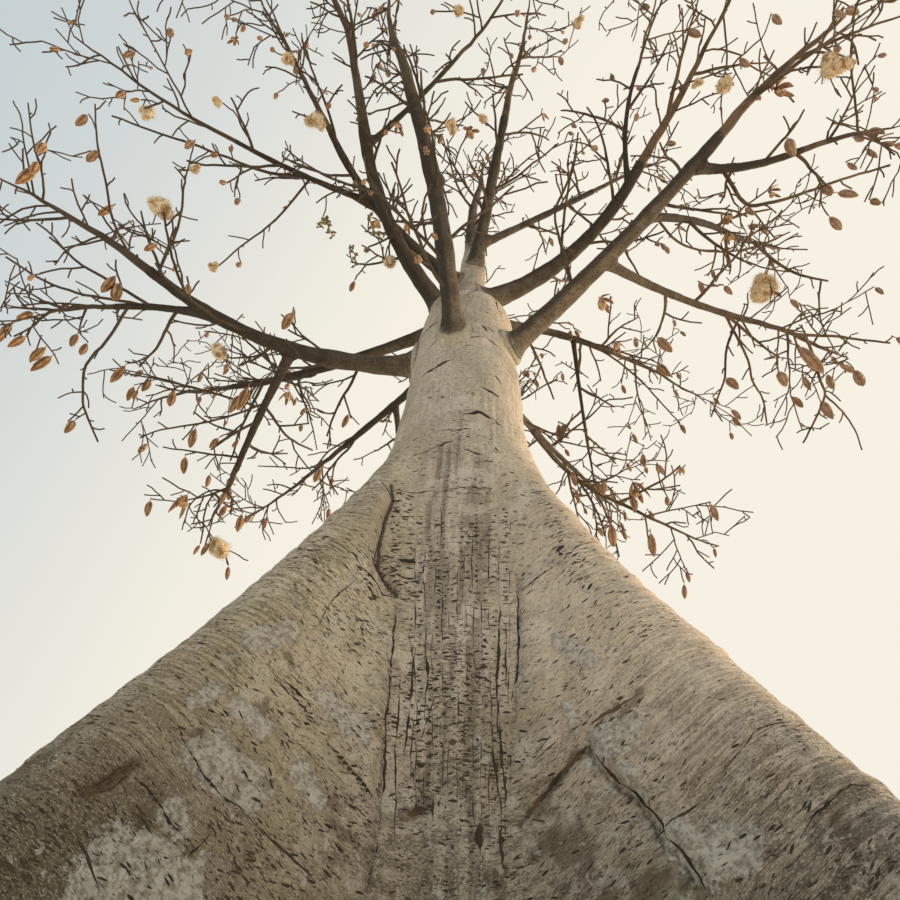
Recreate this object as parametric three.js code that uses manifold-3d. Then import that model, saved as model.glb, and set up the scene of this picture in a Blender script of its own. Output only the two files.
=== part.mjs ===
// Kapok tree, bare and open grown: a buttressed trunk, spreading boughs, and masses of twigs with seed pods.
// Lengths are millimetres and angles are degrees. +Z is up, and the origin is on the cut at ground level.
import * as THREE from "three";
import Module from "manifold-3d";

const wasm = await Module();
wasm.setup();

const { clamp, degToRad, lerp, smoothstep } = THREE.MathUtils;

// The gap between two pieces that meet
const seatGap = 0.3;

// The trunk is an even column from its buttresses to columnTop and tapers to its shoulder. There it draws in
// to the neck that the leader grows from
const trunk = {
  forkHeight: 12150,
  columnTop: 9000,
  groundRadius: 860,
  columnRadius: 725,
  shoulderHeight: 9400,
  shoulderRadius: 690,
  neckHeight: 10600,
  neckRadius: 240,
  forkRadius: 170,
  lean: 450,
  facetAngle: 16,
  buttressRings: 11,
  upperRings: 12,
};

// Buttresses are thick rounded fins. Their ridge falls away from the trunk as a power of the height
const buttresses = [
  { bearing: 30, reach: 3900, top: 7100 },
  { bearing: 90, reach: 3500, top: 6600 },
  { bearing: 150, reach: 4050, top: 7300 },
  { bearing: 210, reach: 4450, top: 7800 },
  { bearing: 329, reach: 4250, top: 7700 },
];
const buttressShape = {
  groundHalf: 600,
  topHalf: 260,
  rootShare: 0.6,
  flare: 1.45,
  blend: 300,
  fan: [-27, -13, -6, 0, 6, 13, 27],
};

// A bough leaves the trunk's middle at a height. It runs out by its reach and up by its rise, bowed up by
// its arch and sideways by its sweep
const boughs = {
  left: {
    height: 8700, bearing: 193, reach: 5950, rise: 2050,
    arch: -560, sweep: -600, thick: 170, thin: 56,
  },
  front: {
    height: 6600, bearing: 251.4, reach: 3290, rise: 7000,
    arch: 300, sweep: 220, thick: 148, thin: 104,
  },
  front_left: {
    height: 9400, bearing: 238, reach: 3400, rise: 4000,
    arch: 40, sweep: -540, thick: 155, thin: 82,
  },
  upper_left: {
    height: 10900, bearing: 222, reach: 3850, rise: 2900,
    arch: 20, sweep: -440, thick: 140, thin: 42,
  },
  upper_right: {
    height: 11300, bearing: 289, reach: 2500, rise: 3700,
    arch: 130, sweep: 20, thick: 132, thin: 66,
  },
  upper_back: {
    height: 10900, bearing: 78, reach: 2900, rise: 3500,
    arch: 150, sweep: 160, thick: 105, thin: 48,
  },
  leader: {
    height: 11950, bearing: 310, reach: 450, rise: 3500,
    arch: 40, sweep: -160, thick: 128, thin: 56,
  },
  right_inner: {
    height: 10350, bearing: 324, reach: 4100, rise: 2400,
    arch: -100, sweep: 620, thick: 165, thin: 76,
  },
  right_front: {
    height: 8000, bearing: 326, reach: 5450, rise: 3650,
    arch: -80, sweep: 140, thick: 158, thin: 74,
  },
  right_back: {
    height: 9850, bearing: 30, reach: 3900, rise: 1850,
    arch: 200, sweep: -90, thick: 88, thin: 46,
  },
  back_right: {
    height: 9000, bearing: 56, reach: 5200, rise: 1400,
    arch: 90, sweep: 150, thick: 80, thin: 36,
  },
  back: {
    height: 9700, bearing: 97, reach: 4900, rise: 2300,
    arch: 300, sweep: -200, thick: 120, thin: 50,
  },
  back_left: {
    height: 9250, bearing: 130, reach: 4900, rise: 1050,
    arch: 700, sweep: -350, thick: 105, thin: 46,
  },
  left_back: {
    height: 10000, bearing: 160, reach: 5350, rise: 600,
    arch: -700, sweep: 150, thick: 115, thin: 38,
  },
};

// A fork is a limb that leaves another limb, at this share of the parent's length
const forks = {
  left_level: {
    from: "left", at: 0.61, bearing: 181, reach: 2050, rise: 300,
    arch: 130, sweep: 40, thick: 68, thin: 42,
  },
  left_low: {
    from: "left", at: 0.42, bearing: 120, reach: 3100, rise: -250,
    arch: 90, sweep: 30, thick: 74, thin: 48,
  },
  front_cross: {
    from: "front_left", at: 0.74, bearing: 325, reach: 2200, rise: 2000,
    arch: 150, sweep: 60, thick: 54, thin: 32,
  },
  upper_left_low: {
    from: "upper_left", at: 0.51, bearing: 205, reach: 2900, rise: 50,
    arch: -40, sweep: -70, thick: 58, thin: 34,
  },
  upper_right_side: {
    from: "upper_right", at: 0.16, bearing: 352, reach: 2800, rise: 2300,
    arch: -70, sweep: -10, thick: 72, thin: 48,
  },
  right_inner_high: {
    from: "right_inner", at: 0.74, bearing: 284, reach: 1750, rise: 2000,
    arch: 20, sweep: -190, thick: 46, thin: 28,
  },
  right_out: {
    from: "right_front", at: 0.72, bearing: 356, reach: 2250, rise: 820,
    arch: 90, sweep: 180, thick: 74, thin: 50,
  },
  right_low: {
    from: "right_front", at: 0.42, bearing: 23, reach: 3450, rise: 520,
    arch: 90, sweep: 140, thick: 70, thin: 44,
  },
  right_mid: {
    from: "right_front", at: 0.56, bearing: 25, reach: 2700, rise: 2050,
    arch: 100, sweep: -100, thick: 66, thin: 44,
  },
  right_back_low: {
    from: "right_back", at: 0.58, bearing: 80, reach: 1700, rise: -1650,
    arch: 200, sweep: 0, thick: 40, thin: 26, spray: 1500,
  },
  back_right_low: {
    from: "back_right", at: 0.47, bearing: 30, reach: 2350, rise: -950,
    arch: 20, sweep: 290, thick: 46, thin: 34, spray: 1900,
  },
  back_high: {
    from: "back", at: 0.5, bearing: 60, reach: 1900, rise: 2300,
    arch: 100, sweep: 120, thick: 60, thin: 38,
  },
  back_low: {
    from: "back_left", at: 0.5, bearing: 95, reach: 2300, rise: -700,
    arch: 200, sweep: -100, thick: 54, thin: 36,
  },
  left_back_high: {
    from: "left_back", at: 0.5, bearing: 135, reach: 2300, rise: 2100,
    arch: 60, sweep: -120, thick: 60, thin: 38,
  },
};

const limbShape = {
  taper: 0.85,
  collar: 0.32,
  collarRun: 240,
  boughSides: 7,
  boughSteps: 7,
  boughEnd: 0.82,
  forkSides: 5,
  forkSteps: 4,
  forkEnd: 0.85,
};

// The crown keeps inside one flattened ball
const crown = {
  centre: new THREE.Vector3(200, -300, 11600),
  halfSize: new THREE.Vector3(7700, 7500, 6000),
};

// A mass of twigs: its stem runs on from the limb, shoots leave the stem, and twigs leave the shoots.
// share is a branch's length against its parent's, and drift and lift bend it at each joint.
// A side branch that finds no room is swung round its parent or trimmed, in the order of tries
const growth = {
  seed: 8191,
  seedStep: 15485863,
  turn: 137.5,
  turnSpread: 30,
  lengthSpread: 0.3,
  boughStem: 3500,
  forkStem: 2900,
  stemFade: 0.5,
  cellMargin: 25,
  limbMargin: 25,
  tries: [
    { swing: 0, trim: 1 },
    { swing: 110, trim: 1 },
    { swing: -110, trim: 0.9 },
    { swing: 180, trim: 0.8 },
    { swing: 0, trim: 0.6 },
    { swing: 140, trim: 0.5 },
  ],
  levels: [
    { joints: 4, thin: 13, drift: 0.15, lift: 0.05 },
    { joints: 2, share: 0.48, angle: 50, tipAngle: 32, thin: 10, drift: 0.16, lift: 0.07, thickness: 0.6 },
    { joints: 1, share: 0.5, angle: 52, tipAngle: 30, thin: 7, drift: 0, lift: 0, thickness: 0.7 },
  ],
};

// A pod hangs upright under the end of its twig on a short stalk
const pod = {
  length: 360,
  radius: 62,
  stalk: 70,
  stalkRadius: 8,
  root: 16,
  sides: 5,
  shoulder: 0.3,
  shoulderShare: 0.86,
  belly: 0.62,
  chance: 0.32,
  most: 4,
};

const finishes = {
  trunk: { color: 0xb0a594, roughness: 0.9 },
  bough: { color: 0x85786a, roughness: 0.88 },
  twigs: { color: 0x6b5a48, roughness: 0.85 },
};

const up = new THREE.Vector3(0, 0, 1);
const east = new THREE.Vector3(1, 0, 0);

// The Park and Miller generator: the same seed always grows the same tree
function seededRandom(seed) {
  const multiplier = 16807;
  const modulus = 2147483647;
  let state = seed;
  return () => {
    state = (state * multiplier) % modulus;
    return state / modulus;
  };
}

// A closed mesh from rings of points that run from the foot to the tip, with a flat end on each
function closeRings(rings) {
  const sides = rings[0].length;
  const positions = rings.flat().flatMap((point) => point.toArray());
  const index = [];
  for (let ring = 0; ring + 1 < rings.length; ring += 1) {
    for (let side = 0; side < sides; side += 1) {
      const here = ring * sides + side;
      const next = ring * sides + ((side + 1) % sides);
      index.push(here, next, next + sides, here, next + sides, here + sides);
    }
  }
  const last = (rings.length - 1) * sides;
  for (let side = 1; side + 1 < sides; side += 1) {
    index.push(0, side + 1, side);
    index.push(last, last + side, last + side + 1);
  }
  const vertProperties = new Float32Array(positions);
  const triVerts = new Uint32Array(index);
  return new wasm.Manifold(new wasm.Mesh({ numProp: 3, vertProperties, triVerts }));
}

// A direction square to the given one
function squareTo(direction) {
  const steep = 0.9;
  const reference = Math.abs(direction.z) < steep ? up : east;
  return new THREE.Vector3().crossVectors(direction, reference).normalize();
}

// A tapering tube along a path, its section carried along without twist
function tube(points, radii, sides) {
  let across = null;
  const rings = points.map((point, step) => {
    const before = points[Math.max(step - 1, 0)];
    const after = points[Math.min(step + 1, points.length - 1)];
    const along = after.clone().sub(before).normalize();
    across = across ?? squareTo(along);
    across = across.clone().addScaledVector(along, -across.dot(along)).normalize();
    const other = new THREE.Vector3().crossVectors(along, across);
    return Array.from({ length: sides }, (_, side) => {
      const turn = (2 * Math.PI * side) / sides;
      return point
        .clone()
        .addScaledVector(across, radii[step] * Math.cos(turn))
        .addScaledVector(other, radii[step] * Math.sin(turn));
    });
  });
  return closeRings(rings);
}

// The piece of a cut solid that counts, without loose scraps
function largestPiece(solid) {
  return solid.decompose().reduce((best, piece) => (piece.volume() > best.volume() ? piece : best));
}

function trunkMiddle(height) {
  return new THREE.Vector3(trunk.lean * (height / trunk.forkHeight) ** 2, 0, height);
}

function columnRadius(height) {
  if (height < trunk.columnTop) {
    return lerp(trunk.groundRadius, trunk.columnRadius, height / trunk.columnTop);
  }
  const shoulderShare = (height - trunk.columnTop) / (trunk.shoulderHeight - trunk.columnTop);
  const neckShare = (height - trunk.neckHeight) / (trunk.forkHeight - trunk.neckHeight);
  const below = lerp(trunk.columnRadius, trunk.shoulderRadius, clamp(shoulderShare, 0, 1));
  const above = lerp(trunk.neckRadius, trunk.forkRadius, clamp(neckShare, 0, 1));
  return lerp(below, above, smoothstep(height, trunk.shoulderHeight, trunk.neckHeight));
}

// How far a buttress's fin stands out from the trunk's middle in one direction: flat flanks and a round nose
function finRadius(buttress, height, bearing) {
  const away = degToRad(bearing - buttress.bearing);
  if (Math.cos(away) <= 0) {
    return 0;
  }
  const fall = clamp(1 - height / buttress.top, 0, 1) ** buttressShape.flare;
  const half = lerp(buttressShape.groundHalf, buttressShape.topHalf, clamp(height / buttress.top, 0, 1));
  const nose = Math.max(lerp(buttressShape.rootShare * trunk.columnRadius, buttress.reach, fall) - half, 0);
  const flank = half / Math.max(Math.abs(Math.sin(away)), 1e-6);
  if (flank * Math.cos(away) <= nose) {
    return flank;
  }
  return nose * Math.cos(away) + Math.sqrt(Math.max(half ** 2 - (nose * Math.sin(away)) ** 2, 0));
}

// The larger of two radii, rounded where they are nearly equal
function blendedMax(first, second, blend) {
  const overlap = Math.max(blend - Math.abs(first - second), 0) / blend;
  return Math.max(first, second) + (overlap ** 2 * blend) / 4;
}

function trunkRadius(height, bearing) {
  const column = columnRadius(height);
  if (height >= Math.max(...buttresses.map((buttress) => buttress.top))) {
    return column;
  }
  return buttresses.reduce(
    (radius, buttress) => blendedMax(radius, finRadius(buttress, height, bearing), buttressShape.blend),
    column,
  );
}

// Bearings of the trunk's facets: a fan on each buttress, and even steps between the fans
function trunkBearings() {
  const fans = buttresses.flatMap((buttress) => buttressShape.fan.map((offset) => buttress.bearing + offset));
  fans.sort((first, second) => first - second);
  return fans.flatMap((bearing, place) => {
    const next = place + 1 < fans.length ? fans[place + 1] : fans[0] + 360;
    const parts = Math.ceil((next - bearing) / trunk.facetAngle);
    return Array.from({ length: parts }, (_, part) => bearing + ((next - bearing) * part) / parts);
  });
}

function trunkHeights() {
  const finTop = Math.max(...buttresses.map((buttress) => buttress.top));
  const lower = Array.from(
    { length: trunk.buttressRings },
    (_, ring) => (finTop * ring) / trunk.buttressRings,
  );
  const upper = Array.from(
    { length: trunk.upperRings + 1 },
    (_, ring) => lerp(finTop, trunk.forkHeight, ring / trunk.upperRings),
  );
  return [...lower, ...upper];
}

// The trunk, or the same shape grown by a gap, which cuts the limbs that leave it
function trunkSolid(gap) {
  const bearings = trunkBearings();
  const heights = trunkHeights();
  const rings = heights.map((height, ring) => {
    const middle = trunkMiddle(height);
    const lift = ring === heights.length - 1 ? gap : 0;
    return bearings.map((bearing) => {
      const radius = trunkRadius(height, bearing) + gap;
      const angle = degToRad(bearing);
      return middle.clone().add(new THREE.Vector3(radius * Math.cos(angle), radius * Math.sin(angle), lift));
    });
  });
  return closeRings(rings);
}

// The middle line of a limb: a straight run that bows up or down and sideways
class LimbLine extends THREE.Curve {
  constructor(limb, start) {
    super();
    const bearing = degToRad(limb.bearing);
    this.start = start;
    this.run = new THREE.Vector3(limb.reach * Math.cos(bearing), limb.reach * Math.sin(bearing), limb.rise);
    this.bow = new THREE.Vector3(-limb.sweep * Math.sin(bearing), limb.sweep * Math.cos(bearing), limb.arch);
  }

  getPoint(share, target = new THREE.Vector3()) {
    const bowed = 4 * share * (1 - share);
    return target.copy(this.start).addScaledVector(this.run, share).addScaledVector(this.bow, bowed);
  }
}

// A limb's radius: an even taper, with a collar where it leaves what carries it
function limbRadius(limb, share) {
  const tapered = lerp(limb.thick, limb.thin, share ** limbShape.taper);
  const clear = Math.max(share * limb.line.getLength() - limb.seat, 0);
  return tapered * (1 + limbShape.collar * Math.exp(-clear / limbShape.collarRun));
}

// The shares of its line at which a limb has its rings. Its last one is where it enters its mass
function limbShares(limb) {
  const steps = limb.from ? limbShape.forkSteps : limbShape.boughSteps;
  const end = limb.from ? limbShape.forkEnd : limbShape.boughEnd;
  return Array.from({ length: steps + 1 }, (_, step) => (end * step) / steps);
}

function limbSolid(limb, gap) {
  const sides = limb.from ? limbShape.forkSides : limbShape.boughSides;
  const shares = limbShares(limb);
  const points = shares.map((share) => limb.line.getPoint(share));
  return tube(points, shares.map((share) => limbRadius(limb, share) + gap), sides);
}

// Every limb with its middle line, the radius of what carries it and its name
function layOutLimbs() {
  const limbs = {};
  for (const [name, bough] of Object.entries(boughs)) {
    const line = new LimbLine(bough, trunkMiddle(bough.height));
    limbs[name] = { ...bough, name, line, seat: columnRadius(bough.height) };
  }
  for (const [name, fork] of Object.entries(forks)) {
    const parent = limbs[fork.from];
    const line = new LimbLine(fork, parent.line.getPoint(fork.at));
    limbs[name] = { ...fork, name, line, seat: limbRadius(parent, fork.at) };
  }
  return limbs;
}

// Balls that fill the trunk and the limbs, which no twig may touch
function fillWithBalls(limbs) {
  const spacing = 90;
  const balls = [];
  for (let height = trunk.columnTop; height <= trunk.forkHeight; height += spacing) {
    balls.push({ owner: null, centre: trunkMiddle(height), radius: columnRadius(height) });
  }
  for (const limb of Object.values(limbs)) {
    const end = limbShares(limb).at(-1);
    const count = Math.ceil((limb.line.getLength() * end) / spacing);
    for (let ball = 0; ball <= count; ball += 1) {
      const share = (end * ball) / count;
      balls.push({ owner: limb, centre: limb.line.getPoint(share), radius: limbRadius(limb, share) });
    }
  }
  return balls;
}

// A mass's own space is the part of the crown that lies nearer to its stem's run than to any other mass's
function insideSpace(point, room, mass, masses) {
  const fromMiddle = point.clone().sub(crown.centre);
  const limit = crown.halfSize.clone().subScalar(room);
  if (fromMiddle.divide(limit).lengthSq() > 1) {
    return false;
  }
  const nearest = new THREE.Vector3();
  const farFrom = (run) => run.closestPointToPoint(point, true, nearest).distanceTo(point);
  const own = farFrom(mass.run);
  const needed = own + 2 * (room + growth.cellMargin);
  return masses.every((other) => other === mass || farFrom(other.run) > needed);
}

function clearOfLimbs(start, end, room, balls, spared) {
  const segment = new THREE.Line3(start, end);
  const nearest = new THREE.Vector3();
  return balls.every((ball) => {
    if (spared && ball.owner === spared) {
      return true;
    }
    segment.closestPointToPoint(ball.centre, true, nearest);
    return nearest.distanceTo(ball.centre) > ball.radius + room + growth.limbMargin;
  });
}

function branchFits(path, mass, masses, balls, spared) {
  return path.points.every((point, joint) => {
    const room = path.radii[joint];
    const before = path.points[Math.max(joint - 1, 0)];
    const middle = before.clone().lerp(point, 0.5);
    const inside = insideSpace(point, room, mass, masses) && insideSpace(middle, room, mass, masses);
    return inside && (joint === 0 || clearOfLimbs(before, point, room, balls, spared));
  });
}

// Random bends for the joints of one branch
function drawBends(level, random) {
  return Array.from({ length: level.joints }, () => {
    const bend = new THREE.Vector3(random() - 0.5, random() - 0.5, random() - 0.5);
    return bend.multiplyScalar(2 * level.drift);
  });
}

// A path of even steps whose heading drifts and lifts a little at each joint
function wander(start, heading, length, level, bends) {
  const points = [start.clone()];
  const direction = heading.clone();
  for (const bend of bends) {
    points.push(points[points.length - 1].clone().addScaledVector(direction, length / level.joints));
    direction.add(bend);
    direction.z += level.lift;
    direction.normalize();
  }
  return points;
}

// The heading of a side branch that leaves at an angle, turned round its parent
function sideHeading(along, angle, turn) {
  const side = squareTo(along).applyAxisAngle(along, degToRad(turn));
  return along
    .clone()
    .multiplyScalar(Math.cos(degToRad(angle)))
    .addScaledVector(side, Math.sin(degToRad(angle)));
}

function taperedRadii(thick, thin, joints) {
  return Array.from({ length: joints + 1 }, (_, joint) => lerp(thick, thin, joint / joints));
}

// The stem of a mass runs on from its limb as far as the mass's space allows
function growStem(mass, masses, balls, random) {
  const level = growth.levels[0];
  const bends = drawBends(level, random);
  for (const { trim } of growth.tries) {
    const stem = {
      level: 0,
      length: mass.length * trim,
      points: wander(mass.start, mass.heading, mass.length * trim, level, bends),
      radii: taperedRadii(mass.thick, level.thin, level.joints),
    };
    if (branchFits(stem, mass, masses, balls, mass.limb)) {
      return stem;
    }
  }
  throw new Error(`no room for the stem at ${mass.limb.name}`);
}

// A side branch at one joint of its parent: it is turned aside or cut shorter until it fits, or else skipped
function growSide(parent, joint, turn, mass, masses, balls, random) {
  const level = growth.levels[parent.level + 1];
  const bends = drawBends(level, random);
  const vigour = 1 + growth.lengthSpread * (random() - 0.5);
  const fade = parent.level === 0 ? 1 - (growth.stemFade * (joint - 1)) / (parent.points.length - 1) : 1;
  const along = parent.points[joint].clone().sub(parent.points[joint - 1]).normalize();
  const thick = Math.max(parent.radii[joint] * level.thickness, level.thin);
  const angle = joint === parent.points.length - 1 ? level.tipAngle : level.angle;
  for (const { swing, trim } of growth.tries) {
    const heading = sideHeading(along, angle, turn + swing);
    const length = parent.length * level.share * vigour * fade * trim;
    const branch = {
      level: parent.level + 1,
      length,
      points: wander(parent.points[joint], heading, length, level, bends),
      radii: taperedRadii(thick, level.thin, level.joints),
    };
    if (branchFits(branch, mass, masses, balls, null)) {
      return [branch];
    }
  }
  return [];
}

// The branches of one mass, from its stem outward
function growMass(mass, masses, balls) {
  const random = seededRandom(mass.seed);
  const branches = [growStem(mass, masses, balls, random)];
  for (const parent of branches) {
    if (parent.level + 1 < growth.levels.length) {
      const firstTurn = 360 * random();
      for (let joint = 1; joint < parent.points.length; joint += 1) {
        const turn = firstTurn + growth.turn * joint + growth.turnSpread * (random() - 0.5);
        branches.push(...growSide(parent, joint, turn, mass, masses, balls, random));
      }
    }
  }
  return { branches, pods: hangPods(branches, mass, masses, balls, random) };
}

// Pods hang under the ends of side branches, a few on each mass
function hangPods(branches, mass, masses, balls, random) {
  const pods = [];
  for (const branch of branches.filter((one) => one.level > 0)) {
    const tip = branch.points[branch.points.length - 1];
    const foot = tip.clone().addScaledVector(up, -pod.stalk - pod.length);
    const path = { points: [tip, foot], radii: [pod.radius, pod.radius] };
    const wanted = random() < pod.chance && pods.length < pod.most;
    if (wanted && branchFits(path, mass, masses, balls, null)) {
      pods.push(tip);
    }
  }
  return pods;
}

// A pod: its stalk, and a spindle that is fullest below its middle
function podSolid(tip) {
  const levels = [
    [pod.root, pod.stalkRadius],
    [-pod.stalk - pod.shoulder * pod.length, pod.shoulderShare * pod.radius],
    [-pod.stalk - pod.belly * pod.length, pod.radius],
    [-pod.stalk - pod.length, pod.stalkRadius],
  ];
  const points = levels.map(([drop]) => tip.clone().addScaledVector(up, drop));
  return tube(points, levels.map(([, radius]) => radius), pod.sides);
}

function massSolid(mass, masses, balls) {
  const twigSides = 3;
  const { branches, pods } = growMass(mass, masses, balls);
  const solids = [
    ...branches.map((branch) => tube(branch.points, branch.radii, twigSides)),
    ...pods.map((tip) => podSolid(tip)),
  ];
  return largestPiece(solids.reduce((joined, solid) => joined.add(solid)));
}

// One mass at the tip of each limb, its space round the straight run where its stem grows
function layOutMasses(limbs) {
  return Object.values(limbs).map((limb, place) => {
    const [before, last] = limbShares(limb).slice(-2);
    const tip = limb.line.getPoint(last);
    const heading = tip.clone().sub(limb.line.getPoint(before)).normalize();
    const length = limb.spray ?? (limb.from ? growth.forkStem : growth.boughStem);
    const start = tip.clone().addScaledVector(heading, seatGap);
    const run = new THREE.Line3(start, start.clone().addScaledVector(heading, length));
    const seed = growth.seed + growth.seedStep * place;
    return { limb, heading, length, start, run, thick: limbRadius(limb, last), seed };
  });
}

function namedMesh(name, solid, finish) {
  const { vertProperties, triVerts } = solid.getMesh();
  const geometry = new THREE.BufferGeometry();
  geometry.setAttribute("position", new THREE.BufferAttribute(vertProperties, 3));
  geometry.setIndex(new THREE.BufferAttribute(triVerts, 1));
  geometry.computeVertexNormals();
  const mesh = new THREE.Mesh(geometry, new THREE.MeshStandardMaterial({ ...finish, metalness: 0 }));
  mesh.name = name;
  return mesh;
}

const tree = new THREE.Group();
tree.add(namedMesh("trunk", trunkSolid(0), finishes.trunk));

const limbs = layOutLimbs();
const trunkCutter = trunkSolid(seatGap);
for (const limb of Object.values(limbs)) {
  const carrier = limb.from ? limbSolid(limbs[limb.from], seatGap) : trunkCutter;
  const solid = largestPiece(limbSolid(limb, 0).subtract(carrier));
  tree.add(namedMesh(`bough_${limb.name}`, solid, finishes.bough));
}

const balls = fillWithBalls(limbs);
const masses = layOutMasses(limbs);
for (const mass of masses) {
  tree.add(namedMesh(`twigs_${mass.limb.name}`, massSolid(mass, masses, balls), finishes.twigs));
}

export default tree;
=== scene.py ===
# A bare kapok tree, open grown and seen from near its foot: a buttressed trunk with pale bark, spreading
# boughs, fine twigs, woody seed pods and tufts of floss. Lengths are metres and angles are degrees.
import math

import bpy
import numpy as np
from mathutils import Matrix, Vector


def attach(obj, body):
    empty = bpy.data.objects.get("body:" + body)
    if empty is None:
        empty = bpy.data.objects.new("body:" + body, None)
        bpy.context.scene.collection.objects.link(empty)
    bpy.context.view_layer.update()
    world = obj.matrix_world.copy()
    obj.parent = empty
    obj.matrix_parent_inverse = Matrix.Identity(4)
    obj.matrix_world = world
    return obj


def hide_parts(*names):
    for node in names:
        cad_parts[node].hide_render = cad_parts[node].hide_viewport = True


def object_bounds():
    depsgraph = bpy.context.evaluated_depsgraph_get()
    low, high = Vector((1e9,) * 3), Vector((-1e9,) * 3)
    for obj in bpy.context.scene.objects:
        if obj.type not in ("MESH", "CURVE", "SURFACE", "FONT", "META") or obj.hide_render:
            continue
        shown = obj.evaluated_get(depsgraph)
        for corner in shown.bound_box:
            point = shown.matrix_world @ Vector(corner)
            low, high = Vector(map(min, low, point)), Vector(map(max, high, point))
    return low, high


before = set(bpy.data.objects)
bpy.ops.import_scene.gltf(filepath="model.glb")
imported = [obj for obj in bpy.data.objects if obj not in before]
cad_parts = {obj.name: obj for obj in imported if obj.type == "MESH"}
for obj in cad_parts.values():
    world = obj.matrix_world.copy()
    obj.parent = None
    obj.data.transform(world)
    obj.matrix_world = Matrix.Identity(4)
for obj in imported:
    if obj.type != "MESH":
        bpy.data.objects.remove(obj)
solid_box = [list(corner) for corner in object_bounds()]

# Viewpoint: an eye a little above the ground, in front of the bay between the two nearest buttresses. It
# looks steeply up the trunk through a wide lens, so the trunk narrows fast and the crown fans out.
eye = np.array([0.0, -4.7, 1.3])
eye_pitch = math.radians(49.1)
eye_forward = np.array([0, math.cos(eye_pitch), math.sin(eye_pitch)])
upward = np.array([0, 0, 1.0])
lens_length = 24.0
sensor_width = 36.0
image_size = 900
farthest_seen = 500


def add_object(name, data):
    """A new object of this mesh, camera or light, linked to the scene."""
    item = bpy.data.objects.new(name, data)
    bpy.context.scene.collection.objects.link(item)
    return item


camera_data = bpy.data.cameras.new("eye")
camera_data.lens = lens_length
camera_data.sensor_width = sensor_width
camera_data.clip_end = farthest_seen
camera = add_object("eye", camera_data)
camera.location = eye
camera.rotation_euler = (math.pi / 2 + eye_pitch, 0, 0)
bpy.context.scene.camera = camera


def seen_at(points):
    """Where points in space fall in the image, in pixels from its upper left corner."""
    focal = lens_length / sensor_width * image_size
    half = image_size / 2
    away = np.asarray(points) - eye
    depth = away[..., 1] * math.cos(eye_pitch) + away[..., 2] * math.sin(eye_pitch)
    rise = away[..., 2] * math.cos(eye_pitch) - away[..., 1] * math.sin(eye_pitch)
    depth = np.maximum(depth, 0.01)
    return np.stack([half + focal * away[..., 0] / depth, half - focal * rise / depth], axis=-1)


# Trunk: one stem of soft pale wood, an even column above its buttresses that tapers to the fork. Five
# buttresses, the roots' upper edges grown into thick fins, hold it up. The bark is one skin over all of
# them, thin and corky, fluted on the column, creased where the fins join it, and wrinkled across the ridges.
trunk = {
    "fork_height": 12.15,
    "column_top": 9.0,
    "ground_radius": 0.86,
    "column_radius": 0.725,
    "shoulder_height": 9.4,
    "shoulder_radius": 0.69,
    "neck_height": 10.6,
    "neck_radius": 0.24,
    "fork_radius": 0.17,
    "lean": 0.45,
}
buttresses = [
    {"bearing": 30, "reach": 3.9, "top": 7.1},
    {"bearing": 90, "reach": 3.5, "top": 6.6},
    {"bearing": 150, "reach": 4.05, "top": 7.3},
    {"bearing": 210, "reach": 4.45, "top": 7.8},
    {"bearing": 329, "reach": 4.25, "top": 7.7},
]
fin_shape = {"ground_half": 0.6, "top_half": 0.26, "root_share": 0.6, "flare": 1.45, "blend": 0.3}


def lerp(first, second, share):
    return (1 - share) * first + share * second


def smooth_step(low, high, value):
    share = np.clip((value - low) / (high - low), 0, 1)
    return share * share * (3 - 2 * share)


def column_radius(height):
    """The column tapers to its shoulder, then draws in to the neck that the leader grows from."""
    below = np.interp(
        height, [0, trunk["column_top"], trunk["shoulder_height"]],
        [trunk["ground_radius"], trunk["column_radius"], trunk["shoulder_radius"]],
    )
    above = np.interp(
        height, [trunk["neck_height"], trunk["fork_height"]], [trunk["neck_radius"], trunk["fork_radius"]]
    )
    return lerp(below, above, smooth_step(trunk["shoulder_height"], trunk["neck_height"], height))


def fin_radius(fin, height, bearing):
    """How far one buttress stands out from the trunk's middle: flat flanks and a round nose."""
    away = np.radians(bearing - fin["bearing"])
    ahead = np.cos(away)
    aside = np.abs(np.sin(away))
    rise = np.clip(height / fin["top"], 0, 1)
    half = lerp(fin_shape["ground_half"], fin_shape["top_half"], rise)
    root = fin_shape["root_share"] * trunk["column_radius"]
    nose = np.maximum(lerp(root, fin["reach"], (1 - rise) ** fin_shape["flare"]) - half, 0)
    flank = half / np.maximum(aside, 1e-6)
    rounded = nose * ahead + np.sqrt(np.maximum(half ** 2 - (nose * aside) ** 2, 0))
    radius = np.where(flank * ahead <= nose, flank, rounded)
    return np.where((ahead > 0) & (height < fin["top"]), radius, 0)


def trunk_radius(height, bearing):
    radius = column_radius(height) + 0 * bearing
    for fin in buttresses:
        other = fin_radius(fin, height, bearing)
        overlap = np.maximum(fin_shape["blend"] - np.abs(radius - other), 0) / fin_shape["blend"]
        radius = np.maximum(radius, other) + overlap ** 2 * fin_shape["blend"] / 4
    return radius


def trunk_middle(height):
    height = np.asarray(height, float)
    lean = trunk["lean"] * (height / trunk["fork_height"]) ** 2
    return np.stack([lean, np.zeros_like(height), height], axis=-1)


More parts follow.
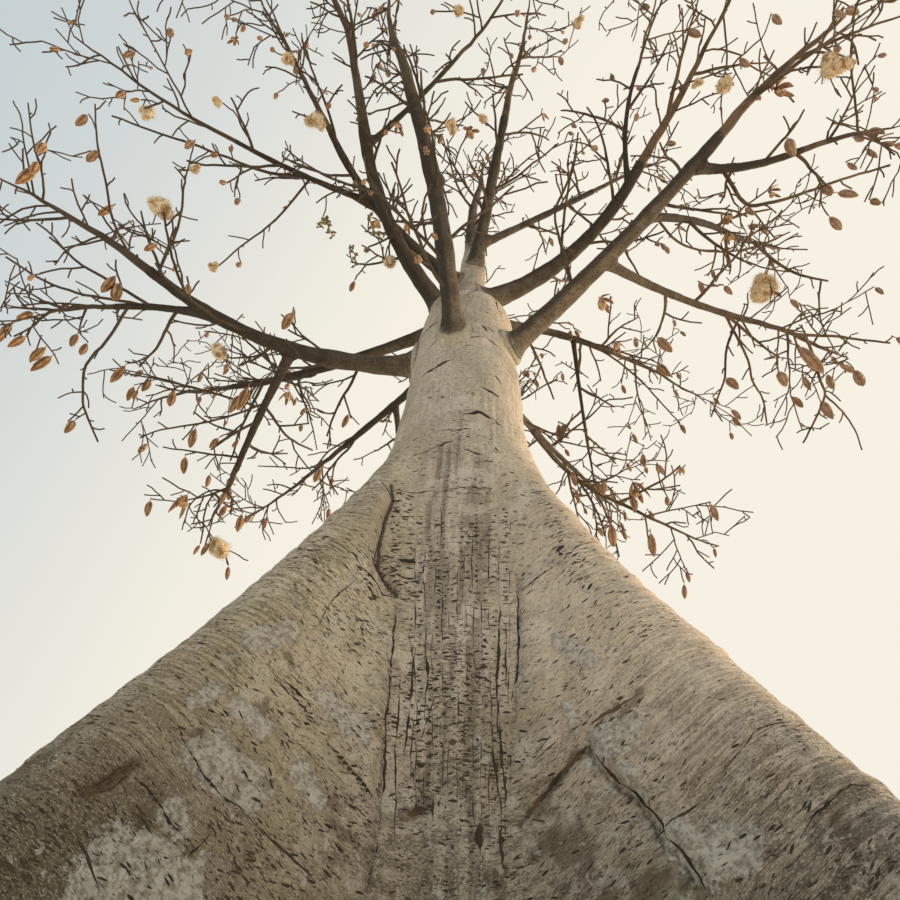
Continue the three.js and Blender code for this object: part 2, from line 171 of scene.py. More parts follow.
def lumps(points, size, seed=0):
    """Smooth random lumps of about the given size, from -1 to 1. The size may differ along x, y and z."""
    mixers = (73856093, 19349663, 83492791, 1274126177)
    scaled = np.asarray(points) / size + 37.0 * seed
    cell = np.floor(scaled).astype(np.int64)
    inside = scaled - cell
    fade = inside * inside * (3 - 2 * inside)
    total = 0
    for corner in np.ndindex(2, 2, 2):
        x, y, z = (cell[..., axis] + corner[axis] for axis in range(3))
        mixed = (x * mixers[0]) ^ (y * mixers[1]) ^ (z * mixers[2])
        mixed = ((mixed ^ (mixed >> 13)) * mixers[3]) & 0x7FFFFFFF
        weight = np.prod(np.where(corner, fade, 1 - fade), axis=-1)
        total = total + weight * ((mixed >> 7) & 0xFFFF) / 0xFFFF
    return 2 * total - 1


def facing(bearing):
    """Level directions of length 1 along these bearings."""
    return np.stack([np.cos(np.radians(bearing)), np.sin(np.radians(bearing)), 0 * bearing], axis=-1)


def step_lengths(points):
    return np.linalg.norm(np.diff(points, axis=0), axis=1)


def distance_along(points):
    """How far along a path each of its points is."""
    return np.concatenate([[0], np.cumsum(step_lengths(points))])


def bay_columns(first, second, height, count):
    """Bearings of a bay's columns of vertices at one height, spread evenly along the bark."""
    fine = np.linspace(first, second, outline_points)
    outline = trunk_radius(np.full_like(fine, height), fine)[:, None] * facing(fine)
    run = distance_along(outline)
    return np.interp(np.linspace(0, run[-1], count + 1)[:-1], run, fine)


# The bay that faces the eye has most of the columns, and the rows are closest where the eye sees them best
outline_points = 481
front_columns = 270
back_columns = 66
row_steps = [(0.0, 1.6, 27), (1.6, 8.5, 252), (8.5, trunk["fork_height"], 80)]
heights = np.concatenate([np.linspace(low, high, count, endpoint=False) for low, high, count in row_steps])
heights = np.append(heights, trunk["fork_height"])
ridges = [fin["bearing"] for fin in buttresses[3:]] + [fin["bearing"] + 360 for fin in buttresses[:4]]
bearings = np.array([
    np.concatenate([
        bay_columns(first, second, height, front_columns if place == 0 else back_columns)
        for place, (first, second) in enumerate(zip(ridges, ridges[1:]))
    ])
    for height in heights
])
height_grid = np.broadcast_to(heights[:, None], bearings.shape)


def polar_points(height, bearing, radius):
    return trunk_middle(height) + radius[..., None] * facing(bearing)


def grid_normals(points):
    """Outward normals of a ring of columns that run up the trunk."""
    around = np.roll(points, -1, axis=1) - np.roll(points, 1, axis=1)
    normal = np.cross(around, np.gradient(points, axis=0))
    return normal / np.linalg.norm(normal, axis=-1, keepdims=True)


smooth_bark = polar_points(height_grid, bearings, trunk_radius(height_grid, bearings))
fin_reach = np.max([
    fin_radius(fin, height_grid, bearings - turn) for fin in buttresses for turn in (0, 360)
], axis=0)
face = smooth_step(0.02, 0.2, column_radius(height_grid) - fin_reach)

# The bark's own directions. Its grain runs straight up the column and along the ridge of each buttress,
# and its marks lie square to that, so those on a flank slope down from the ridge to the bay.
around_steps = np.linalg.norm(np.diff(smooth_bark, axis=1), axis=-1)
around = np.concatenate([np.zeros((len(heights), 1)), np.cumsum(around_steps, axis=1)], axis=1)
around -= around[:, front_columns // 2][:, None]
ridge_slope = 0.6
out_from_column = np.maximum(trunk_radius(height_grid, bearings) - column_radius(height_grid), 0)
flank = smooth_step(0.05, 0.40, out_from_column)
grain = upward - ridge_slope * flank[..., None] * facing(bearings)
bark_place = np.stack([around, height_grid - ridge_slope * out_from_column, 0 * around], axis=-1)

# The bay in front of the eye, as it is seen. Its marked features are traced over the image, as pixels.
front_seen = seen_at(smooth_bark[:, :front_columns + 1])


def grid_spots(pixels):
    """The rows and columns of the bay's grid, with fractions, that the eye sees at these pixels."""
    spots = []
    for pixel in pixels:
        gaps = np.linalg.norm(front_seen[1:-1, 1:-1] - pixel, axis=-1)
        row, column = np.array(np.unravel_index(np.argmin(gaps), gaps.shape)) + 1
        up = front_seen[row + 1, column] - front_seen[row - 1, column]
        over = front_seen[row, column + 1] - front_seen[row, column - 1]
        shift = np.linalg.solve(np.stack([up, over], axis=1) / 2, pixel - front_seen[row, column])
        spots.append(np.array([row, column]) + np.clip(shift, -0.99, 0.99))
    return np.array(spots)


def sampled(grid, spots):
    """A grid's values at these spots, from the four corners round each."""
    row, column = np.floor(spots).astype(int).T
    up, over = (spots - np.floor(spots)).T[..., None]
    below = lerp(grid[row, column], grid[row, column + 1], over)
    return lerp(below, lerp(grid[row + 1, column], grid[row + 1, column + 1], over), up)


def traced(pixels, gap=0.02):
    """A line traced over the image, as close spots on the grid, and how far along it each one is."""
    bends = grid_spots(pixels)
    run = distance_along(sampled(smooth_bark, bends))
    steps = np.linspace(0, run[-1], max(int(run[-1] / gap), 5) + 1)
    return np.stack([np.interp(steps, run, bends[:, part]) for part in range(2)], axis=-1), steps


def nearness(pixels, size):
    """How near each place of the bark is to a traced line, from 0 far away to 1 on it."""
    front = smooth_bark[:, :front_columns + 1]
    nearest = np.full(front.shape[:2], np.inf)
    for place in sampled(smooth_bark, traced(pixels, size / 2)[0]):
        nearest = np.minimum(nearest, np.linalg.norm(front - place, axis=-1))
    near = np.zeros_like(bearings)
    near[:, :front_columns + 1] = np.exp(-(nearest / size) ** 2)
    return near


# Folds, lips, knots and shoulders: the pixels that each runs through, its half width, and how far it rises
forms_seen = [
    ([(391, 483), (394, 500), (386, 520), (381, 545), (380, 565), (388, 582), (397, 592)], 0.038, -0.048),
    ([(376, 500), (369, 530), (364, 560), (372, 586)], 0.100, 0.040),
    ([(397, 604), (393, 650), (388, 710), (383, 770), (378, 830), (370, 890)], 0.032, -0.034),
    ([(384, 640), (378, 700), (371, 760), (363, 820)], 0.090, 0.022),
    ([(517, 575), (518, 640), (515, 700), (508, 760)], 0.036, -0.030),
    ([(531, 590), (533, 650), (535, 700)], 0.090, 0.018),
    ([(394, 566), (402, 585)], 0.060, 0.040),
    ([(404, 562), (412, 563)], 0.030, 0.030),
    ([(400, 577), (418, 575)], 0.022, -0.040),
    ([(376, 561), (386, 574)], 0.024, -0.035),
    ([(331, 742), (352, 768), (372, 795)], 0.034, -0.030),
    ([(279, 678), (300, 697), (319, 722)], 0.034, -0.024),
    ([(588, 741), (562, 768), (530, 803), (519, 822)], 0.045, -0.038),
    ([(604, 744), (630, 772), (655, 798), (678, 824), (712, 862)], 0.060, 0.030),
    # The sunk line under the edge of a lichen crust, where its painted shadow falls
    ([(586, 750), (598, 768), (614, 785), (634, 800), (650, 822), (661, 844), (676, 858), (696, 884)],
     0.050, -0.036),
    ([(137, 775), (158, 803), (180, 831)], 0.040, -0.024),
    ([(185, 738), (202, 772), (228, 799), (258, 826)], 0.035, -0.020),
    ([(84, 792), (110, 782), (135, 763)], 0.035, -0.022),
    ([(806, 838), (820, 820), (845, 797), (866, 787)], 0.040, -0.020),
    ([(443, 341), (455, 337), (470, 337), (480, 341)], 0.110, 0.050),
    ([(500, 356), (510, 366), (514, 378)], 0.120, 0.050),
]
folded = np.zeros_like(bearings)
fold_shade = np.zeros_like(bearings)
for line, size, rise in forms_seen:
    near = nearness(line, size)
    folded += rise * near
    # A sunk fold gets painted shade, darker the deeper it is
    if rise < 0:
        fold_shade = np.maximum(fold_shade, near ** 3 * np.clip((-rise - 0.018) / 0.028, 0, 1))
        fold_shade = np.maximum(fold_shade, 0.50 * near)

# Crusts of pale lichen: the pixels that each runs through and its half width
lichen_seen = [
    ([(207, 756), (228, 772), (246, 790)], 0.17), ([(172, 812), (184, 826)], 0.08),
    ([(138, 846), (158, 848)], 0.07), ([(112, 870), (140, 880), (172, 890)], 0.22),
    ([(597, 746), (612, 742), (628, 731)], 0.15), ([(622, 770), (634, 774)], 0.05),
    ([(632, 784), (645, 798)], 0.045), ([(672, 836), (690, 848), (706, 866)], 0.13),
    ([(708, 852), (742, 850)], 0.15), ([(326, 700), (340, 712), (362, 733)], 0.10),
    ([(258, 640), (290, 632)], 0.12), ([(300, 770), (318, 800)], 0.08), ([(238, 708), (262, 730)], 0.09),
    ([(196, 702), (214, 690)], 0.07), ([(560, 640), (590, 660)], 0.09), ([(480, 742), (486, 756)], 0.05),
    ([(566, 706), (574, 722)], 0.05),
]
lichen = np.max([nearness(line, size) for line, size in lichen_seen], axis=0)
ragged_edge = 0.5 * lumps(smooth_bark, 0.10, 14) + 0.35 * lumps(smooth_bark, 0.05, 15)


def grained_lumps(across_grain, with_grain, seed):
    """Lumps that lie along the bark's own directions."""
    return lumps(bark_place, np.array([across_grain, with_grain, 1.0]), seed)


# Wrinkles crowd the ridges, where the bay's columns end
beside_ridge = np.abs(np.interp(np.arange(bearings.shape[1]), [0, front_columns], [-1, 1]))
ridge_lines = np.broadcast_to(smooth_step(0.40, 0.85, beside_ridge), bearings.shape) * flank
low_down = smooth_step(7.2, 4.0, height_grid)
ribs = grained_lumps(0.045, 0.7, 3) * face * smooth_step(7.8, 5.6, height_grid)
# How far the bark stands out, in metres: broad swellings, waves across the grain, ribs, wrinkles and crusts
relief = (
    0.020 * lumps(smooth_bark, 0.85, 5)
    + 0.010 * lumps(smooth_bark, 0.30, 6)
    + (0.007 + 0.006 * flank) * grained_lumps(0.60, 0.11, 7)
    + 0.004 * grained_lumps(0.18, 0.055, 8) * (0.4 + low_down)
    + 0.018 * ribs
    + 0.006 * ridge_lines * grained_lumps(0.50, 0.045, 18)
    + 0.014 * smooth_step(0.45, 0.65, lichen + 0.4 * ragged_edge)
    + folded
)
sideways = grid_normals(smooth_bark) * np.array([1, 1, 0])
bark_points = smooth_bark + relief[..., None] * sideways
bark_normals = grid_normals(bark_points)
# Painted shade: dark in the deeper folds and, more faintly, in the ribs' furrows
hollow = np.clip(fold_shade + 0.30 * smooth_step(-0.15, -0.7, ribs), 0, 1)
# Corky marks stand closest low on the trunk, in columns on its face, and thin out on the sunny side, under
# lichen and at the ground
mark_density = lerp(0.22, 1.0, low_down) * (0.25 + 1.1 * smooth_step(-0.4, 0.5, lumps(smooth_bark, 0.28, 10)))
mark_density *= 0.4 + 1.1 * smooth_step(-0.5, 0.4, lumps(smooth_bark, 0.09, 11))
mark_density *= 1 + 1.3 * smooth_step(0.1, -0.5, ribs) * face
mark_density *= np.where(height_grid > 0.06, 1, 0)
mark_density *= 1 - 0.45 * smooth_step(0.5, 1.5, smooth_bark[..., 0])
mark_density *= 1 - 0.5 * smooth_step(0.35, 0.65, lichen)

# Brown stains, where water runs down: the pixels that each runs through and its half width
stains_seen = [
    ([(588, 741), (562, 768), (530, 803), (519, 822)], 0.060),
    ([(590, 742), (610, 716), (640, 696)], 0.075), ([(84, 792), (110, 782), (135, 763)], 0.050),
    ([(122, 846), (142, 822)], 0.110), ([(20, 770), (60, 745)], 0.090), ([(288, 655), (292, 668)], 0.045),
    ([(188, 853), (208, 834)], 0.040), ([(245, 846), (252, 852)], 0.055),
    ([(405, 812), (428, 803)], 0.055), ([(420, 769), (440, 766)], 0.045),
    ([(498, 832), (503, 898)], 0.055), ([(480, 836), (484, 872)], 0.040),
    ([(536, 800), (545, 850)], 0.120), ([(330, 806), (345, 850)], 0.120),
    ([(560, 850), (640, 880)], 0.200), ([(370, 860), (378, 898)], 0.090),
    ([(252, 706), (256, 716)], 0.040), ([(690, 880), (716, 898)], 0.090),
    ([(836, 812), (850, 850)], 0.060), ([(152, 800), (140, 838)], 0.060),
    ([(212, 748), (196, 735)], 0.045), ([(268, 700), (262, 712)], 0.045),
]
stain = np.max([nearness(line, size) for line, size in stains_seen], axis=0)
stain = np.clip(stain * (0.75 + 0.7 * grained_lumps(0.10, 0.05, 12)), 0, 1)


def grid_faces(rows, columns):
    """Four-sided faces between open rows of vertices, whose last column isn't joined to the first."""
    corner = (np.arange(rows - 1)[:, None] * columns + np.arange(columns - 1)).ravel()
    return np.stack([corner, corner + 1, corner + columns + 1, corner + columns], axis=-1)


def mesh_piece(name, points, faces, finish=None):
    """A smooth mesh object from arrays of points and faces."""
    mesh = bpy.data.meshes.new(name)
    mesh.from_pydata(np.asarray(points).tolist(), [], [list(map(int, one)) for one in faces])
    mesh.polygons.foreach_set("use_smooth", np.full(len(mesh.polygons), True))
    if finish:
        mesh.materials.append(finish)
    return add_object(name, mesh)


def store(piece, name, values):
    """Keeps a number or a vector for each of the piece's points, for its finish or its nodes to read."""
    values = np.asarray(values, np.float32)
    is_vector = values.ndim > 1
    attribute = piece.data.attributes.new(name, "FLOAT_VECTOR" if is_vector else "FLOAT", "POINT")
    attribute.data.foreach_set("vector" if is_vector else "value", values.ravel())


def bark_piece(name, columns, extra_points=(), extra_faces=()):
    """The bark of some columns of the trunk, with the numbers that its colours follow."""
    points = bark_points[:, columns].reshape(-1, 3)
    normals = bark_normals[:, columns].reshape(-1, 3)
    faces = list(grid_faces(len(heights), len(columns)))
    piece = mesh_piece(name, np.concatenate([points, *extra_points]), faces + list(extra_faces))
    spare = len(piece.data.vertices) - len(points)
    kept = {
        "hollow": hollow, "marks": mark_density, "face": face, "stain": stain, "grain": grain,
        "place": bark_place, "ridge": ridge_lines, "crust": lichen, "rib": ribs,
    }
    for label, values in kept.items():
        chosen = values[:, columns].reshape(len(points), *values.shape[2:])
        store(piece, label, np.concatenate([chosen, np.zeros((spare, *values.shape[2:]))]))
    return piece, normals, spare


column_count = bearings.shape[1]
front_piece, front_normals, _ = bark_piece("bark_front", np.arange(front_columns + 1))
front_piece.data.normals_split_custom_set_from_vertices(front_normals.tolist())

# The rest of the bark also has the flat cut at the ground and the rounded top, hidden in the fork
round_columns = np.append(np.arange(front_columns, column_count), 0)
dome_steps = 5
dome_rise = 0.18
rim = bark_points[-1]
rim_middle = trunk_middle(trunk["fork_height"])
dome = [
    rim_middle + (rim - rim_middle) * math.cos(turn) + upward * dome_rise * math.sin(turn)
    for turn in np.linspace(0, math.pi / 2, dome_steps + 1)[:-1]
]
dome_top = rim_middle + upward * dome_rise
first_extra = len(heights) * len(round_columns)
foot_start = first_extra + dome_steps * column_count + 1
dome_top_place = foot_start - 1
closing = []
for step in range(dome_steps):
    for column in range(column_count):
        here = first_extra + step * column_count + column
        beside = first_extra + step * column_count + (column + 1) % column_count
        if step + 1 < dome_steps:
            closing.append([here, beside, beside + column_count, here + column_count])
        else:
            closing.append([here, beside, dome_top_place])
closing.append([foot_start + column for column in reversed(range(column_count))])
round_piece, round_normals, spare = bark_piece(
    "bark_round", round_columns, [np.concatenate(dome), dome_top[None], bark_points[0]], closing
)
dome_normals = np.broadcast_to(upward, (spare - column_count, 3))
foot_normals = np.broadcast_to(-upward, (column_count, 3))
round_piece.data.normals_split_custom_set_from_vertices(
    np.concatenate([round_normals, dome_normals, foot_normals]).tolist()
)


class Flow:
    """One value in a node tree. An expression on flows adds the tree's Math or Vector Math nodes."""

    def __init__(self, tree, socket=None):
        self.tree = tree
        self.socket = socket

    def make(self, kind, inputs=None, output=0, **settings):
        """Adds a node with these settings and these values or links, and gives one of its outputs."""
        node = self.tree.nodes.new(kind)
        for label, value in settings.items():
            setattr(node, label, value)
        for label, value in (inputs or {}).items():
            if isinstance(value, Flow):
                self.tree.links.new(value.socket, node.inputs[label])
            else:
                node.inputs[label].default_value = value
        return Flow(self.tree, node.outputs[output])

    def combine(self, operation, first, second):
        flows = [one for one in (first, second) if isinstance(one, Flow)]
        if any(one.socket.type == "VECTOR" for one in flows):
            spread = [(one,) * 3 if isinstance(one, (int, float)) else one for one in (first, second)]
            return self.make("ShaderNodeVectorMath", {0: spread[0], 1: spread[1]}, operation=operation)
        return self.make("ShaderNodeMath", {0: first, 1: second}, operation=operation)

    def __add__(self, other):
        return self.combine("ADD", self, other)

    def __radd__(self, other):
        return self.combine("ADD", other, self)

    def __sub__(self, other):
        return self.combine("SUBTRACT", self, other)

    def __rsub__(self, other):
        return self.combine("SUBTRACT", other, self)

    def __mul__(self, other):
        return self.combine("MULTIPLY", self, other)

    def named(self, name, kind="FLOAT"):
        """What each point of the geometry keeps under a name."""
        return self.make("GeometryNodeInputNamedAttribute", {"Name": name}, data_type=kind)

    def random(self, low, high, seed):
        """A number drawn between two for each point."""
        return self.make("FunctionNodeRandomValue", {2: low, 3: high, "Seed": seed}, output=1)

    def step(self, low, high):
        """Goes smoothly from 0 at low to 1 at high."""
        ends = {"Value": self, "From Min": low, "From Max": high}
        return self.make("ShaderNodeMapRange", ends, interpolation_type="SMOOTHSTEP")

    def blend(self, first, second):
        """A colour between two, with this value as the share of the second."""
        ends = {0: self, 6: first, 7: second}
        return self.make("ShaderNodeMix", ends, output=2, data_type="RGBA")


def paint(red, green, blue):
    """A colour of the given screen values, from 0 to 255, as the shaders want it."""
    scaled = [value / 255 for value in (red, green, blue)]
    return tuple(one / 12.92 if one <= 0.04045 else ((one + 0.055) / 1.055) ** 2.4 for one in scaled) + (1.0,)


class Finish:
    """A material with one Principled shader. Its colour is laid on in coats, one over another."""

    def __init__(self, name, roughness=0.9):
        self.material = bpy.data.materials.new(name)
        self.material.use_nodes = True
        self.tree = self.material.node_tree
        self.shader = self.tree.nodes["Principled BSDF"]
        self.shader.inputs["Roughness"].default_value = roughness
        self.start = Flow(self.tree)
        self.place = self.start.make("ShaderNodeTexCoord", output="Object")
        self.colour = None

    def coat(self, share, red, green, blue):
        """Lays a colour over the ones before it, by this share."""
        self.colour = share.blend(self.colour, paint(red, green, blue))

    def axis(self, name):
        """How far along X, Y or Z the shaded place lies."""
        return self.start.make("ShaderNodeSeparateXYZ", {0: self.place}, output=name)

    def bump(self, height, strength, distance):
        """The surface's normal, tilted as the height asks."""
        inputs = {"Height": height, "Strength": strength, "Distance": distance}
        return self.start.make("ShaderNodeBump", inputs)

    def feed(self, **flows):
        """Links a flow to each named socket of the shader, with _ for a blank in its name."""
        for label, flow in flows.items():
            self.tree.links.new(flow.socket, self.shader.inputs[label.replace("_", " ")])

    def noise(self, size, detail=3.0, roughness=0.55, seed=0.0, place=None):
        """Cloudy noise of the given size, which may differ along x, y and z."""
        scale = (1 / size,) * 3 if isinstance(size, float) else tuple(1 / one for one in size)
        moved = (place or self.place) * scale + (seed,) * 3
        inputs = {"Vector": moved, "Scale": 1.0, "Detail": detail, "Roughness": roughness}
        return self.start.make("ShaderNodeTexNoise", inputs)

    def number(self, name):
        """A number that the piece keeps for each of its points."""
        return self.start.make("ShaderNodeAttribute", output="Fac", attribute_name=name)


def bark_finish():
    """Pale bark, warm grey over beige, darker low down, with lichen, algae, stains and corky dashes."""
    bark = Finish("pale bark", 0.92)
    height = bark.axis("Z")
    across = bark.axis("X")
    along = bark.start.make("ShaderNodeAttribute", output="Vector", attribute_name="place")

    def grained(across_grain, with_grain, *settings):
        """Noise that lies along the bark's own directions."""
        return bark.noise((across_grain, with_grain, 1.0), *settings, along)

    # Warm grey in clouds over beige, and painted light on the ribs' backs and painted shade in their furrows
    low = height.step(6.0, 2.6)
    foot = height.step(3.5, 1.9)
    bark.colour = bark.noise(0.9, 3.0).step(0.38, 0.64).blend(paint(218, 204, 184), paint(190, 175, 154))
    fine = grained(0.05, 0.03, 4.0, 0.65, 3.0).step(0.42, 0.64)
    bark.coat(fine * 0.6, 144, 131, 114)
    rib = bark.number("rib")
    bark.coat(rib.step(0.10, 0.50) * 0.40, 216, 205, 187)
    bark.coat(rib.step(-0.05, -0.45) * 0.50, 104, 92, 76)
    # Mottling low down, wrinkles on the ridges and patches at the foot
    mottled = grained(0.20, 0.12, 6.0, 0.78, 7.0).step(0.49, 0.59) * (low * 0.7 + foot * 0.3)
    bark.coat(mottled * 0.80, 96, 85, 68)
    ridged = grained(0.40, 0.026, 4.0, 0.7, 51.0).step(0.50, 0.56) * bark.number("ridge").step(0.05, 0.55)
    bark.coat(ridged * 0.90, 72, 62, 46)
    bark.coat(bark.noise(0.28, 4.0, 0.6, 53.0).step(0.54, 0.60) * 0.6, 220, 210, 194)
    patches = grained(0.10, 0.07, 4.0, 0.7, 9.0).step(0.51, 0.59) * foot
    bark.coat(patches * 0.8, 74, 64, 50)
    # Painted shade: the whole bark darkens evenly towards the foot
    bark.coat(foot * 0.55, 92, 82, 65)
    # The flanks: straw on the left, painted shade low on the left, painted warm sunlight on the right
    bark.coat(across.step(0.0, -1.0) * 0.30, 222, 199, 152)
    # Painted shade, low on the left flank
    bark.coat(across.step(-0.2, -1.8) * height.step(3.4, 2.0) * 0.78, 68, 60, 43)
    # Painted sunlight: the right flank is lighter and warmer, as a low sun falls on it
    painted_sunlight = across.step(0.1, 1.3) * height.step(1.9, 3.8)
    bark.coat(painted_sunlight * 0.68, 246, 222, 194)
    # Streaks down the face, specks, olive algae and a cool tint low on the right
    streaks = grained(0.03, 0.5, 3.0, 0.6, 11.0).step(0.50, 0.66) * bark.number("face")
    bark.coat(streaks * 0.32, 112, 100, 83)
    specks = grained(0.016, 0.009, 3.0, 0.7, 57.0)
    bark.coat(specks.step(0.52, 0.64) * 0.42, 96, 83, 65)
    bark.coat(specks.step(0.48, 0.36) * 0.40, 230, 219, 200)
    bark.coat(bark.noise((0.6, 0.9, 0.9), 3.0, 0.5, 17.0).step(0.52, 0.70) * 0.25, 142, 138, 110)
    bark.coat(across.step(1.7, 2.3) * height.step(2.6, 2.0) * 0.45, 134, 134, 140)
    # Brown stains, and lichen in crusts and in scattered flakes
    stained = bark.number("stain") + grained(0.06, 0.10, 4.0, 0.7, 23.0) * 0.9
    bark.coat(stained.step(0.78, 1.25) * 0.60, 84, 66, 45)
    crust = (bark.number("crust") + bark.noise(0.09, 6.0, 0.75, 33.0) * 2.0).step(1.52, 1.62)
    flakes = bark.noise(0.085, 4.0, 0.65, 31.0).step(0.58, 0.61)
    crusted = crust * 0.72 + flakes * bark.noise(0.7, 1.0, 0.5, 37.0).step(0.46, 0.56) * 0.5
    worn = bark.noise(0.035, 4.0, 0.7, 35.0).step(0.42, 0.62)
    bark.colour = crusted.blend(bark.colour, worn.blend(paint(206, 200, 188), paint(146, 138, 124)))
    # Corky dashes, fewer in the painted sunlight and under the crusts, and painted shade in the folds
    clumps = bark.noise(0.16, 3.0, 0.6, 39.0).step(0.40, 0.58)
    dashes = grained(0.026, 0.0105, 2.0, 0.5, 41.0).step(0.59, 0.65) * clumps
    smoother = (1.0 - painted_sunlight * 0.55) * (1.0 - crust * 0.5)
    bark.coat(dashes * (0.40 + low * 0.55) * smoother, 56, 46, 36)
    long_dashes = grained(0.065, 0.017, 2.0, 0.6, 43.0).step(0.62, 0.67)
    bark.coat(long_dashes * (0.35 + low * 0.60) * smoother, 48, 39, 30)
    # Painted shade in the folds and the ribs' furrows, broken up by noise
    deep = bark.number("hollow") * 1.5 - bark.noise(0.03, 3.0, 0.6, 45.0)
    bark.coat(deep.step(0.0, 0.55) * 0.85, 54, 44, 33)
    pits = grained(0.020, 0.012, 4.0, 0.7, 47.0)
    raised = pits + fine * 0.4 - dashes * 0.6 - long_dashes * 0.8
    raised = raised - patches * 0.4 - ridged * 0.7 + crusted * 0.7
    bark.feed(Base_Color=bark.colour, Normal=bark.bump(raised, 0.7, 0.010))
    return bark.material


bark_material = bark_finish()
for piece in (front_piece, round_piece):
    piece.data.materials.append(bark_material)
    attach(piece, "root")
    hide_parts("trunk")

# Bark marks: corky lenticels, the bark's breathing pores, lie flat across the trunk's grain in their
# thousands. They are dark lens shapes a few millimetres high, grown in rows where the bark has stretched.
cork_corners = 8
cork_length = 0.044
cork_height = 0.0115
cork_rise = 0.0025


def full_turn(count):
    """Angles spread evenly over a circle."""
    return np.linspace(0, 2 * math.pi, count, endpoint=False)


def cork_mesh(name):
    """One lenticel lying in the XY plane: a pointed oval, a little raised in its middle."""
    turns = full_turn(cork_corners)
    pointed = np.sin(turns) * np.abs(np.sin(turns)) ** 0.4
    outline = np.stack([cork_length / 2 * np.cos(turns), cork_height / 2 * pointed, 0 * turns], axis=-1)
    points = np.append(outline, [[0, 0, cork_rise]], axis=0)
    faces = [(place, (place + 1) % cork_corners, cork_corners) for place in range(cork_corners)]
    return mesh_piece(name, points, faces)


def node_tree(name, sizes):
    """A Geometry Nodes tree that takes a geometry and the named sizes, each with its kind and first value."""
    tree = bpy.data.node_groups.new(name, "GeometryNodeTree")
    tree.interface.new_socket("Geometry", in_out="INPUT", socket_type="NodeSocketGeometry")
    tree.interface.new_socket("Geometry", in_out="OUTPUT", socket_type="NodeSocketGeometry")
    for label, (kind, value) in sizes.items():
        socket = tree.interface.new_socket(label, in_out="INPUT", socket_type="NodeSocket" + kind)
        if value is not None:
            socket.default_value = value
    entry = tree.nodes.new("NodeGroupInput")
    return tree, {socket.name: Flow(tree, socket) for socket in entry.outputs if socket.name}


def close_tree(tree, geometry, finish):
    """Ends a tree: its instances become real faces and take their finish."""
    real = geometry.make("GeometryNodeRealizeInstances", {0: geometry})
    done = real.make("GeometryNodeSetMaterial", {"Geometry": real, "Material": finish})
    tree.links.new(done.socket, tree.nodes.new("NodeGroupOutput").inputs[0])


def run_tree(source, tree, name, values):
    """Runs a tree on a source object with these sizes and gives its result as a plain mesh piece."""
    modifier = source.modifiers.new("grow", "NODES")
    modifier.node_group = tree
    for item in tree.interface.items_tree:
        if item.in_out == "INPUT" and item.name in values:
            modifier[item.identifier] = values[item.name]
    bpy.context.view_layer.update()
    evaluated = source.evaluated_get(bpy.context.evaluated_depsgraph_get())
    mesh = bpy.data.meshes.new_from_object(evaluated)
    mesh.name = name
    source.modifiers.remove(modifier)
    return add_object(name, mesh)


def scatter_tree():
    """Scatters copies of a shape over bark, each flat on it and square to its grain."""
    tree, given = node_tree("lenticels", {
        "Shape": ("Object", None), "Density": ("Float", 100.0), "Seed": ("Int", 1),
        "Finish": ("Material", None), "Smallest": ("Float", 0.45), "Largest": ("Float", 1.45),
    })
    start = given["Geometry"]
    wanted = start.named("marks")
    spread = {"Mesh": start, "Density": wanted * given["Density"], "Seed": given["Seed"]}
    points = start.make("GeometryNodeDistributePointsOnFaces", spread, distribute_method="RANDOM")
    normal = Flow(tree, points.socket.node.outputs["Normal"])
    level = {0: normal, 1: start.named("grain", "FLOAT_VECTOR")}
    level = start.make("ShaderNodeVectorMath", level, operation="CROSS_PRODUCT")
    upright = start.make("FunctionNodeAlignRotationToVector", {"Vector": normal}, axis="Z")
    turned = start.make(
        "FunctionNodeAlignRotationToVector", {"Rotation": upright, "Vector": level}, axis="X", pivot_axis="Z"
    )
    swing = start.make(
        "FunctionNodeRandomValue", {0: (0.0, 0.0, -0.45), 1: (0.0, 0.0, 0.45), "Seed": given["Seed"]},
        data_type="FLOAT_VECTOR",
    )
    spin = {"Rotation": turned, "Rotate By": start.make("FunctionNodeEulerToRotation", {0: swing})}
    turned = start.make("FunctionNodeRotateRotation", spin, rotation_space="LOCAL")
    chance = start.random(0.0, 1.0, given["Seed"])
    size = given["Smallest"] + (given["Largest"] - given["Smallest"]) * chance * chance
    shape = start.make("GeometryNodeObjectInfo", {"Object": given["Shape"]}, output="Geometry")
    swell = start.random(0.5, 1.2, given["Seed"] + 7)
    stretched = start.make("ShaderNodeCombineXYZ", {0: size, 1: size * swell, 2: size})
    placed = {"Points": points, "Instance": shape, "Rotation": turned, "Scale": stretched}
    close_tree(tree, start.make("GeometryNodeInstanceOnPoints", placed), given["Finish"])
    return tree


def ring_faces(rings, sides, first=0):
    """Faces that join rings of vertices into a closed skin with flat ends."""
    faces = [tuple(first + side for side in reversed(range(sides)))]
    for ring in range(rings - 1):
        for side in range(sides):
            here = first + ring * sides + side
            beside = first + ring * sides + (side + 1) % sides
            faces.append((here, beside, beside + sides, here + sides))
    last = first + (rings - 1) * sides
    faces.append(tuple(range(last, last + sides)))
    return faces


def mark_finish(name, colour, second):
    """Dark cork, browner in places."""
    mark = Finish(name, 0.95)
    mark.feed(Base_Color=mark.noise(0.4).step(0.4, 0.6).blend(colour, second))
    return mark.material


dark_cork = mark_finish("dark cork", paint(50, 41, 31), paint(72, 58, 43))
cork = cork_mesh("lenticel")
lenticel_tree = scatter_tree()
for piece, seed, density in ((front_piece, 11, 430.0), (round_piece, 12, 130.0)):
    sizes = {"Shape": cork, "Density": density, "Seed": seed, "Finish": dark_cork}
    marks = run_tree(piece, lenticel_tree, piece.name.replace("bark", "lenticels"), sizes)
    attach(marks, "root")
bpy.data.objects.remove(cork)
